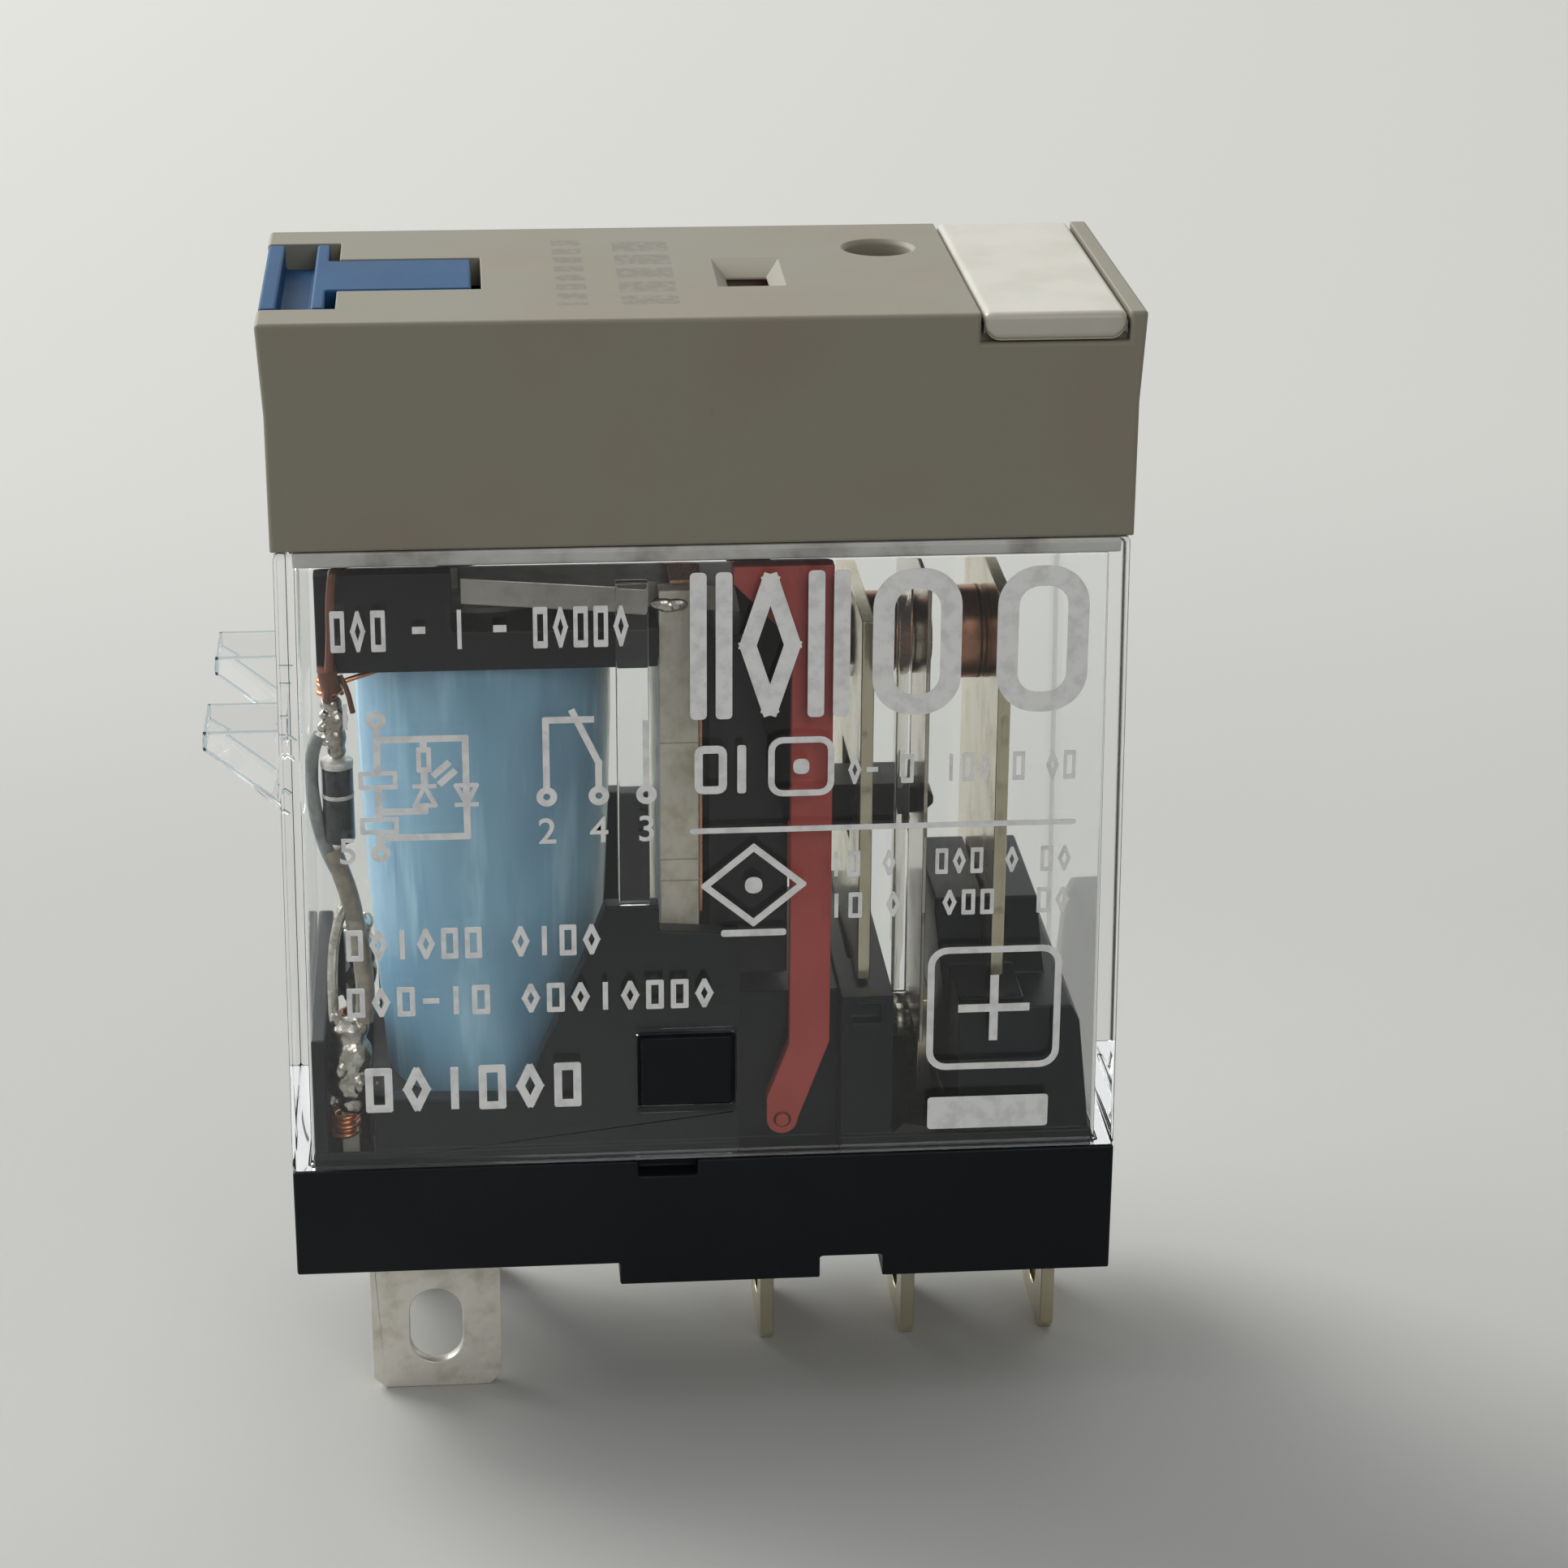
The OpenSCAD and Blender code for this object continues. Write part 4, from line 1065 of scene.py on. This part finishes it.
@dataclass
class PrintedFront:
    """Thin print on the case: rows of signs, plain shapes, numerals and circuit symbols."""

    bench: Bench
    face: float
    depth: float
    stroke: float = 0.23
    sign_wide: float = 0.58
    sign_stroke: float = 0.17
    lift: float = 0.002
    layer: float = 0.0008
    layers: int = 13
    parts: list[bpy.types.Object] = field(default_factory=list)
    models: dict[Sign, bpy.types.Object] = field(default_factory=dict)

    @property
    def middle(self) -> float:
        """Depth in millimetres at which the middle of the ink lies."""
        return self.face + self.lift + self.depth / 2

    def bar(self, x0: float, x1: float, z0: float, z1: float, corner: float = 0.09) -> None:
        """A filled bar with round corners.

        Args:
            x0: Left end in millimetres.
            x1: Right end.
            z0: Lower edge.
            z1: Upper edge.
            corner: Radius of its corners.
        """
        bench = self.bench
        low, high = self.middle - self.depth / 2, self.middle + self.depth / 2
        piece = bench.box("bar", (x0, low, z0), (x1, high, z1))
        corner = min(corner, (x1 - x0) / 2.2, (z1 - z0) / 2.2)
        bench.pick(piece, lambda p, d: abs(d.y) > 0.9, "EDGE")
        bpy.ops.mesh.bevel(offset=corner * MM, segments=max(3, int(corner * 10)), affect="EDGES")
        bench.leave()
        self.parts.append(piece)

    def line(self, *points: tuple[float, float], width: float = 0.0) -> None:
        """A stroke through places on the face.

        Args:
            points: Places along and up, in millimetres.
            width: Width of the stroke, or nought for the usual one.
        """
        half = (width or self.stroke) / 2
        for (xa, za), (xb, zb) in zip(points, points[1:]):
            length = math.hypot(xb - xa, zb - za)
            depth = self.depth - self.layer * (len(self.parts) % self.layers)
            self.bench.clear()
            bpy.ops.mesh.primitive_cube_add(
                size=1,
                location=((xa + xb) / 2 * MM, self.middle * MM, (za + zb) / 2 * MM),
                rotation=(0, -math.atan2(zb - za, xb - xa), 0),
                scale=((length + half * 1.4) * MM, depth * MM, half * 2 * MM),
            )
            self.parts.append(self.bench.settle(bpy.context.object, "stroke"))

    def ring(self, x: float, z: float, radius: float, width: float = 0.0) -> None:
        """An open ring.

        Args:
            x: Its centre along the length in millimetres.
            z: Its centre's height.
            radius: Outer radius.
            width: Width of the stroke, or nought for the usual one.
        """
        bench = self.bench
        middle = (x, self.middle, z)
        ring = bench.rod("ring", middle, Axis.Y, radius, self.depth + self.layer, 32)
        hole = bench.rod("hole", middle, Axis.Y, radius - (width or self.stroke), self.depth * 3, 32)
        bench.cut(ring, hole)
        self.parts.append(ring)

    def hoop(self, x0: float, x1: float, z0: float, z1: float, width: float, corner: float) -> None:
        """An open rectangle with round corners.

        Args:
            x0: Left end in millimetres.
            x1: Right end.
            z0: Lower edge.
            z1: Upper edge.
            width: Width of the stroke.
            corner: Radius of its outer corners.
        """
        self.bar(x0, x1, z0, z1, corner)
        outer = self.parts.pop()
        self.bar(x0 + width, x1 - width, z0 + width, z1 - width, max(corner - width, 0.05))
        inner = self.parts.pop()
        self.bench.pick(inner, lambda p, n: True, "VERT")
        bpy.ops.transform.resize(value=(1, 3, 1), center_override=(0, self.middle * MM, 0))
        self.bench.leave()
        self.bench.cut(outer, inner)
        self.parts.append(outer)

    def numeral(self, text: str, x: float, z: float, height: float) -> None:
        """A terminal numeral.

        Args:
            text: The figure.
            x: Its middle along the length in millimetres.
            z: Its middle height.
            height: Its height.
        """
        bench = self.bench
        bench.clear()
        bpy.ops.object.text_add(location=(0, 0, 0))
        label = bpy.context.object
        label.data.body = text
        label.data.align_x = "CENTER"
        label.data.align_y = "CENTER"
        label.data.size = height * 1.38 * MM
        label.data.extrude = self.depth / 2 * MM
        label.data.offset = 0.012 * MM
        bpy.ops.object.convert(target="MESH")
        label = bpy.context.object
        label.rotation_euler = (math.pi / 2, 0, 0)
        label.location = (x * MM, self.middle * MM, z * MM)
        bench.settle(label, "numeral")
        bench.outward(label)
        self.parts.append(label)

    def model(self, sign: Sign) -> bpy.types.Object:
        """The sign at a height of one millimetre, made when first asked for."""
        if sign not in self.models:
            kept, self.parts = self.parts, []
            inset = self.sign_stroke / 2
            wide, high = self.sign_wide - 2 * inset, 1 - 2 * inset
            left = inset - self.sign_wide / 2
            for x0, z0, x1, z1 in sign.value:
                ends = [(left + x * wide, inset + z * high - 0.5) for x, z in ((x0, z0), (x1, z1))]
                self.line(*ends, width=self.sign_stroke)
            self.models[sign] = self.bench.join(f"sign_{sign.name}", self.parts)
            self.parts = kept
        return self.models[sign]

    def row(self, x0: float, x1: float, z: float, height: float, words: str) -> None:
        """A row of plain signs in place of a line of lettering.

        Args:
            x0: Left end in millimetres.
            x1: Right end.
            z: Middle height.
            height: Height of the signs.
            words: The name of each sign, and a space between groups.
        """
        pitch = (x1 - x0) / len(words)
        wide = min(self.sign_wide * height, pitch * 0.72)
        for number, key in enumerate(words):
            if key == " ":
                continue
            source = self.model(Sign[key])
            piece = bpy.data.objects.new("sign", source.data.copy())
            bpy.context.scene.collection.objects.link(piece)
            piece.scale = (wide / self.sign_wide, 1, height)
            piece.location = ((x0 + pitch * (number + 0.5)) * MM, 0, z * MM)
            self.parts.append(self.bench.settle(piece, "sign"))

    def circuit(self) -> None:
        """Coil circuit and changeover contact, drawn with the usual symbols."""
        left, mid, right = -11.05, -9.5, -8.1
        self.ring(left, 21.7, 0.33)
        self.line((left, 21.4), (left, 19.85))
        self.line((left, 21.0), (right, 21.0), (right, 17.45), (left, 17.45))
        self.box_symbol(left, 19.55, 1.15, 0.5)
        self.line((left, 19.25), (left, 18.15))
        self.box_symbol(left, 17.9, 1.15, 0.45)
        self.line((left, 17.6), (left, 17.2))
        self.ring(left, 16.9, 0.33)
        self.line((mid, 21.0), (mid, 20.6))
        self.box_symbol(mid, 20.25, 0.34, 0.75)
        self.line((mid, 19.9), (mid, 19.2))
        self.arrow(mid, 18.95, 0.7, 1)
        self.line((mid, 18.6), (mid, 18.4), (left, 18.4))
        self.line((mid + 0.35, 19.7), (mid + 0.8, 20.1))
        self.line((mid + 0.55, 19.4), (mid + 1.0, 19.8))
        self.arrow(right, 18.95, 0.7, -1)
        two, four, three = -5.4, -3.64, -2.03
        for x, figure in ((two, "2"), (four, "4"), (three, "3")):
            self.ring(x, 18.8, 0.35)
            self.numeral(figure, x, 17.5, 0.95)
        self.line((two, 19.15), (two, 21.56), (-3.85, 21.56))
        self.line((-4.5, 21.85), (four, 20.0), (four, 19.15))
        self.line((three, 19.15), (three, 21.4))
        self.numeral("1", -12.07, 21.8, 0.95)
        self.numeral("5", -12.15, 16.95, 0.95)

    def box_symbol(self, x: float, z: float, wide: float, high: float) -> None:
        """An open box symbol about a place."""
        a, b, c, d = x - wide / 2, x + wide / 2, z - high / 2, z + high / 2
        self.line((a, c), (b, c), (b, d), (a, d), (a, c), width=0.16)

    def arrow(self, x: float, z: float, size: float, way: int) -> None:
        """An open triangle with a bar at its tip."""
        base, tip = z - way * size / 2, z + way * size / 2
        left, right = x - size / 2, x + size / 2
        self.line((left, base), (right, base), (x, tip), (left, base), width=0.15)
        self.line((left, tip), (right, tip), width=0.15)

    def big_signs(self) -> None:
        """The five tall shapes at the top right: rails, a diamond, rails and two hoops."""
        low, high, middle = 21.45, 26.65, 24.05
        for x0 in (-0.54, 3.42):
            self.bar(x0, x0 + 0.56, low, high, 0.15)
            self.bar(x0 + 0.86, x0 + 1.42, low, high, 0.15)
        tips = ((1.4, middle), (2.15, high - 0.3), (2.9, middle), (2.15, low + 0.3), (1.4, middle))
        self.line(*tips, width=0.56)
        self.hoop(5.6, 8.6, low, high, 0.72, 1.4)
        self.hoop(9.8, 12.9, low, high, 0.72, 1.4)

    def build(self) -> None:
        """Draws every mark and joins them to one piece."""
        self.circuit()
        self.row(-12.55, -2.5, 24.85, 1.45, "bdb m t m bdbbd")
        self.row(-12.45, -3.55, 13.5, 1.15, "bdtdbb dtbd")
        self.row(-12.5, 0.35, 11.35, 1.1, "bdbmtb dbdtdbbd")
        self.row(-12.05, -4.2, 8.0, 1.7, "bdtbdb")
        self.big_signs()
        self.hoop(-0.4, 0.7, 18.75, 20.5, 0.28, 0.3)
        self.bar(1.05, 1.35, 18.75, 20.5)
        self.hoop(2.1, 4.35, 18.6, 20.75, 0.22, 0.5)
        self.bar(2.95, 3.5, 19.4, 19.95, 0.2)
        self.row(4.75, 7.15, 19.5, 1.05, "dm b")
        self.row(8.05, 12.7, 19.5, 1.05, "tbd b db")
        self.bar(-0.56, 12.7, 17.3, 17.5)
        diamond = ((-0.05, 15.35), (1.62, 16.75), (3.3, 15.35), (1.62, 13.95), (-0.05, 15.35))
        self.line(*diamond, width=0.24)
        self.bar(1.32, 1.92, 15.05, 15.65, 0.25)
        self.bar(0.5, 2.75, 13.45, 13.7)
        self.row(4.15, 12.65, 16.05, 0.95, "tb d  bdb d bd")
        self.row(4.15, 12.65, 14.5, 0.95, "tb d  dbb  bd")
        self.hoop(7.7, 12.4, 8.1, 12.8, 0.24, 0.7)
        self.line((8.9, 10.45), (11.2, 10.45), width=0.3)
        self.line((10.05, 9.3), (10.05, 11.6), width=0.3)
        self.bar(7.79, 12.07, 5.8, 7.04, 0.12)
        for model in self.models.values():
            bpy.data.objects.remove(model)
        marks = self.bench.join("front_print", self.parts)
        self.bench.mount(marks, "ink_pale", "plate_white")


@dataclass
class Cover:
    """Grey top cover with nameplate, lamp and test lever."""

    bench: Bench
    edge: float = 0.15
    hole_edge: float = 0.045
    top: float = 35.3
    half_l: float = 14.45
    half_w: float = 6.45

    def build(self) -> None:
        """Builds the cover and the pieces that it carries."""
        self.shell()
        soften = self.bench.soften
        soften("nameplate", "plate_white", 0.26, 5)
        soften("test_lever", "lever_blue", 0.1, 3, "press")
        soften("lamp_board", "board_green", 0.05)
        soften("lamp", "lamp_lens", 0.05)
        soften("resistor", "resistor_body", 0.05)

    def shell(self) -> None:
        """The cover itself: outer edges well rounded, edges at the holes only just."""
        bench = self.bench
        cover = bench.copy_of("top_cover")
        bench.pick(cover, lambda p, d: abs(p.y) > self.half_w or abs(p.x) > self.half_l, "EDGE")
        bpy.ops.mesh.bevel(offset=self.edge * MM, segments=4, affect="EDGES")
        bench.leave()
        bench.round_off(cover, self.hole_edge, 2)
        bench.pick(cover, lambda p, n: p.z > self.top, "VERT")
        bpy.ops.transform.resize(value=(1, 1, 0), center_override=(0, 0, self.top * MM))
        bench.leave()
        bench.smooth(cover)
        bench.mount(cover, "cover_grey", "cover_grey", FRAME_BODY, "top_cover")


@dataclass
class CoilUnit:
    """Bobbin, winding, iron parts and armature."""

    bench: Bench
    front: float = -4.7
    seams: tuple[float, ...] = (20.0, 15.7, 14.9)
    seam_x: tuple[float, float] = (-2.5, 0.2)
    seam_depth: float = 0.08
    seam_high: float = 0.05
    stake: Point = (-1.15, -4.6, 24.95)

    def build(self) -> None:
        """Builds the coil and what it pulls."""
        bench = self.bench
        bench.soften("bobbin", "bobbin_black", 0.07)
        bench.repaint("coil_winding", "winding_copper")
        bench.soften("coil_tape", "tape_blue", 0.03)
        bench.repaint("core", "core_iron")
        self.yoke()
        bench.soften("hinge_spring", "spring_copper", 0.02)
        bench.soften("armature", "armature_steel", 0.06, 2, "armature")
        bench.soften("card", "card_black", 0.06, 2, "armature")

    def yoke(self) -> None:
        """The yoke with its stamping seams and the blob on its staked end."""
        bench = self.bench
        yoke = bench.copy_of("yoke")
        bench.round_off(yoke, 0.05, 2)
        for z in self.seams:
            low = (self.seam_x[0], self.front - 0.3, z)
            high = (self.seam_x[1], self.front + self.seam_depth, z + self.seam_high)
            bench.cut(yoke, bench.box("seam", low, high))
        bench.smooth(yoke)
        bench.mount(yoke, "yoke_steel", "yoke_steel", FRAME_BODY, "yoke")
        left, front, low = self.stake
        blob = bench.join("yoke_stake", [
            bench.ball("blob", (left + x, front, low + z), (0.46, 0.22, 0.26), 3)
            for x, z in ((0.0, 0.0), (-0.2, 0.07), (0.25, 0.05))
        ])
        bench.smooth(blob, 80)
        bench.mount(blob, "solder", "yoke_steel")


@dataclass
class ContactSet:
    """Springs, rivets and contacts."""

    bench: Bench
    contact_z: float = 22.2
    seam_wide: float = 0.09
    seam_proud: float = 0.012
    seam_deep: float = 0.08
    seam_steps: int = 48

    def build(self) -> None:
        """Builds the contacts and the moving spring."""
        bench = self.bench
        bench.soften("moving_spring", "spring_plated", 0.02, 1, "contact_spring", "spring_copper")
        bench.soften("moving_contact", "contact_silver", 0.04, 2, "contact_spring")
        bench.soften("spring_rivets", "contact_silver", 0.04)
        bench.soften("nc_contact", "contact_copper", 0.06)
        bench.soften("no_contact", "contact_copper", 0.06)
        bench.soften("indicator_lever", "lever_red", 0.06, 2, "indicator")
        self.rims()

    def rims(self) -> None:
        """Dark seams where the fixed contacts' heads are riveted and faced."""
        bench = self.bench
        for node, radius, near in (("nc_contact", 1.5, 0.62), ("no_contact", 1.65, 0.96)):
            low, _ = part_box(node)
            start = low[0] / MM
            seams = []
            for x in (start + 0.1, start + near):
                middle, steps = (x, 0, self.contact_z), self.seam_steps
                outer, inner = radius + self.seam_proud, radius - self.seam_deep
                ring = bench.rod("seam", middle, Axis.X, outer, self.seam_wide, steps)
                bench.cut(ring, bench.rod("hole", middle, Axis.X, inner, 0.4, steps))
                seams.append(ring)
            piece = bench.join(f"{node}_rims", seams)
            bench.mount(piece, "contact_rim", "contact_copper")


@dataclass
class Wiring:
    """Coil pins, wire wraps, solder, diode and lamp wires at the coil's end."""

    bench: Bench
    front: float = -4.45
    pin_x: float = -12.6
    grain: float = 0.05
    strand: float = 0.09
    lead: float = 0.34

    def melt(
        self, name: str, lumps: Sequence[tuple[float, float, float, float, float]]
    ) -> bpy.types.Object:
        """Melts balls into one lump of solder.

        Args:
            name: The piece's name.
            lumps: For each ball its place along, its offset to the front, its height, its
                half width and its half height.

        Returns:
            The lump.
        """
        bench = self.bench
        balls = [
            bench.ball("drop", (x, self.front + y, z), (wide, wide * 0.9, high), 2)
            for x, y, z, wide, high in lumps
        ]
        piece = bench.join(name, balls)
        bench.modify(piece, "REMESH", mode="VOXEL", voxel_size=self.grain * MM)
        bench.modify(piece, "SMOOTH", factor=0.5, iterations=4)
        bench.smooth(piece, 80)
        return piece

    def wrap(
        self, name: str, middle: Point, radius: float, turns: int, rise: float
    ) -> bpy.types.Object:
        """A wire wrapped round a post.

        Args:
            name: The piece's name.
            middle: Where the lowest turn is centred.
            radius: Radius of the turns.
            turns: How many there are.
            rise: How far each turn climbs.

        Returns:
            The wrapped wire.
        """
        x, y, z = middle
        steps = 10
        route = []
        for step in range(turns * steps + 1):
            angle = step / steps * 2 * math.pi
            loose = radius * (1 + 0.12 * math.sin(angle * 0.37 + 1))
            place = (x + loose * math.cos(angle), y + loose * math.sin(angle), z + rise * step / steps)
            route.append(place)
        return self.bench.cable(name, route, self.strand, 2)

    def across(self, piece: bpy.types.Object, name: str) -> bpy.types.Object:
        """A mirrored copy of a piece for the rear side."""
        twin = bpy.data.objects.new(name, piece.data.copy())
        bpy.context.scene.collection.objects.link(twin)
        twin.scale = (1, -1, 1)
        self.bench.settle(twin, name)
        self.bench.outward(twin)
        return twin

    def solder(self) -> None:
        """Solder lumps on the coil pins and on the posts, at both sides."""
        upper = (
            (-12.6, 0.15, 21.6, 0.4, 0.34), (-12.48, 0.1, 21.05, 0.47, 0.5),
            (-12.52, 0.05, 20.4, 0.43, 0.5), (-12.46, 0.0, 19.95, 0.34, 0.3),
            (-12.86, -0.18, 21.32, 0.17, 0.16), (-12.92, -0.16, 20.88, 0.18, 0.2),
            (-12.82, -0.2, 20.34, 0.16, 0.15),
        )
        lower = (
            (-12.42, -0.1, 9.4, 0.66, 0.66), (-12.38, -0.16, 8.6, 0.8, 0.95),
            (-12.42, -0.16, 7.7, 0.82, 0.95), (-12.35, -0.1, 6.85, 0.62, 0.62),
            (-13.12, -0.25, 7.0, 0.24, 0.4), (-12.86, -0.15, 10.0, 0.24, 0.4),
            (-11.98, -0.15, 9.7, 0.3, 0.4), (-12.75, -0.72, 8.3, 0.26, 0.34),
            (-12.1, -0.75, 7.7, 0.24, 0.32),
        )
        nodes = {"solder_pin": (upper, "solder_joints"), "solder_post": (lower, None)}
        for name, (lumps, node) in nodes.items():
            piece = self.melt(f"{name}_front", lumps)
            twin = self.across(piece, f"{name}_rear")
            self.bench.mount(piece, "solder", "solder", FRAME_BODY, node)
            self.bench.mount(twin, "solder", "solder")

    def copper(self) -> None:
        """Bare copper ends wrapped round the pins and below the posts, at both sides."""
        x, y = self.pin_x, self.front + 0.3
        wires = [
            self.wrap("pin_wrap_front", (x - 0.02, y, 21.92), 0.36, 4, 0.14),
            self.wrap("post_wrap_front", (x - 0.06, y - 0.1, 5.35), 0.42, 5, 0.17),
            self.bench.cable("strand_top_front", [
                (-12.95, y - 0.2, 22.2), (-12.5, y - 0.4, 22.35), (-11.9, y - 0.35, 22.55),
                (-11.2, y - 0.05, 22.66), (-10.8, y + 0.3, 22.7),
            ], self.strand, 2),
            self.bench.cable("strand_low_front", [
                (-12.6, y - 0.35, 5.9), (-12.3, y - 0.35, 6.05),
                (-11.95, y - 0.1, 6.55), (-11.5, -3.6, 7.0),
            ], self.strand * 0.8, 2),
        ]
        for number, piece in enumerate(wires):
            twin = self.across(piece, piece.name.replace("front", "rear"))
            node = None if number else "coil_leads"
            self.bench.mount(piece, "copper_wire", "winding_copper", FRAME_BODY, node)
            self.bench.mount(twin, "copper_wire", "winding_copper")

    def strands(self) -> None:
        """Enamelled strands and the sheathed bundle beside the flange."""
        y = self.front
        strand = self.bench.cable("strand_enamel", [
            (-12.25, y - 0.25, 22.75), (-12.05, y - 0.3, 22.3), (-11.86, y - 0.2, 21.4),
        ], 0.1, 2)
        self.bench.mount(strand, "wire_sheath", "winding_copper")
        bundle = self.bench.cable("wire_bundle", [
            (-12.66, y - 0.7, 23.2), (-12.64, y - 0.62, 22.9),
            (-12.6, y - 0.5, 22.6), (-12.55, y - 0.4, 22.35),
        ], 0.34, 3)
        self.bench.mount(bundle, "wire_sheath", "winding_copper")

    def diode(self) -> None:
        """Glass diode with its cap, its sleeve and its two legs."""
        bench, y = self.bench, self.front - 0.12
        body = bench.rod("diode_body", (-12.47, y, 18.1), Axis.Z, 0.54, 2.8, 12)
        bench.round_off(body, 0.12, 3)
        bench.smooth(body)
        bench.mount(body, "diode_body", "diode_body", FRAME_BODY, "diode")
        for name, z, tall in (("diode_cap", 19.56, 0.26), ("diode_band", 18.42, 0.16)):
            band = bench.rod(name, (-12.47, y, z), Axis.Z, 0.555, tall, 24)
            bench.round_off(band, 0.04, 2)
            bench.smooth(band)
            bench.mount(band, "diode_mark", "solder")
        sleeve = bench.cable("diode_sleeve", [
            (-13.0, y, 20.6), (-13.2, y, 20.2), (-13.34, y, 19.3), (-13.3, y, 18.2), (-13.12, y, 17.1),
            (-12.86, y, 16.2), (-12.6, y, 15.6),
        ], 0.25)
        bench.mount(sleeve, "sleeve_glass", "diode_body")
        leg = bench.cable("diode_leg", [
            (-12.75, y, 16.4), (-12.5, y, 15.6), (-12.24, y, 14.7), (-12.0, y, 13.3), (-11.84, y, 12.0),
            (-11.8, y, 10.8), (-11.88, y + 0.05, 9.9),
        ], self.lead)
        bench.mount(leg, "sleeve_grey", "solder")
        second = bench.cable("diode_leg_tinned", [
            (-12.3, y, 14.35), (-12.5, y, 14.0), (-12.76, y, 13.1),
            (-12.9, y, 11.8), (-12.92, y + 0.05, 10.1),
        ], 0.19)
        bench.mount(second, "solder", "solder")

    def build(self) -> None:
        """Builds the wiring at the coil end."""
        self.bench.repaint("coil_pins", "blade_tin")
        self.bench.repaint("lamp_wires", "wire_sheath")
        self.solder()
        self.copper()
        self.strands()
        self.diode()


@dataclass
class Studio:
    """Floor, lights and camera."""

    bench: Bench
    floor_z: float = -5.0
    floor_size: float = 1800.0
    eye: Point = (-7.792, -124.898, 65.884)
    yaw: float = 0.08788
    pitch: float = 0.37534
    roll: float = 0.00657
    lens: float = 86.45
    behind: Colour = (0.82, 0.83, 0.84)
    before: Colour = (0.22, 0.218, 0.214)

    def build(self) -> None:
        """Sets the stage."""
        self.floor()
        self.camera()
        self.world()
        self.lamp("key", (-640, 640, 640), (0, 0, 10), 620, 11.5, (1.0, 0.99, 0.96))
        self.lamp("left_window", (-420, 40, 180), (0, 0, 15), 240, 0.35, (0.95, 0.98, 1.0))
        self.lamp("front_fill", (120, -420, 260), (0, 0, 15), 260, 0.4, (1.0, 0.98, 0.95))

    def floor(self) -> None:
        """A wide pale sheet under the blades."""
        self.bench.clear()
        bpy.ops.mesh.primitive_plane_add(size=self.floor_size * MM, location=(0, 0, self.floor_z * MM))
        sheet = self.bench.settle(bpy.context.object, "floor")
        self.bench.dress(sheet, "paper")

    def camera(self) -> None:
        """A camera in front of and above the relay."""
        data = bpy.data.cameras.new("camera")
        data.lens = self.lens
        data.sensor_width = 36
        data.clip_start = 0.01
        camera = bpy.data.objects.new("camera", data)
        bpy.context.scene.collection.objects.link(camera)
        aim = Euler((math.pi / 2 - self.pitch, 0, -self.yaw)).to_matrix()
        camera.rotation_euler = (aim @ Matrix.Rotation(self.roll, 3, "Z")).to_euler()
        camera.location = [v * MM for v in self.eye]
        bpy.context.scene.camera = camera

    def world(self) -> None:
        """Pale surroundings, brighter behind the relay than before it."""
        recipe = Recipe("surroundings", world=True)
        way = recipe.node("ShaderNodeTexCoord", output="Generated")
        side = recipe.node("ShaderNodeSeparateXYZ", None, {0: way}, "X")
        back = recipe.node("ShaderNodeSeparateXYZ", None, {0: way}, "Y")
        depth = (back - side * 0.5).ramp(-0.8, 0.75)
        colour = recipe.blend(depth, self.before, self.behind)
        light = recipe.node("ShaderNodeBackground", None, {"Color": colour})
        bpy.context.scene.world = recipe.close(light)
        bpy.context.scene.view_settings.view_transform = "Standard"

    def lamp(
        self, name: str, place: Point, target: Point, size: float, watts: float, colour: Colour
    ) -> None:
        """A square soft light.

        Args:
            name: The light's name.
            place: Where it hangs, in millimetres.
            target: Where it points.
            size: Its side.
            watts: Its power.
            colour: Its colour.
        """
        data = bpy.data.lights.new(name, "AREA")
        data.size = size * MM
        data.energy = watts
        data.color = colour
        lamp = bpy.data.objects.new(name, data)
        bpy.context.scene.collection.objects.link(lamp)
        lamp.location = [v * MM for v in place]
        way = Vector(target) - Vector(place)
        lamp.rotation_euler = way.to_track_quat("-Z", "Y").to_euler()


def main() -> None:
    """Builds the stage and every sub-assembly."""
    logging.basicConfig(level=logging.INFO, format="%(name)s: %(message)s")
    bench = Bench(Finishes())
    builders: Iterable[Any] = (
        Studio(bench),
        Base(bench),
        ClearCase(bench),
        Cover(bench),
        CoilUnit(bench),
        ContactSet(bench),
        Wiring(bench),
    )
    for builder in builders:
        builder.build()
        log.info("%s done", type(builder).__name__)


if __name__ == "__main__":
    main()
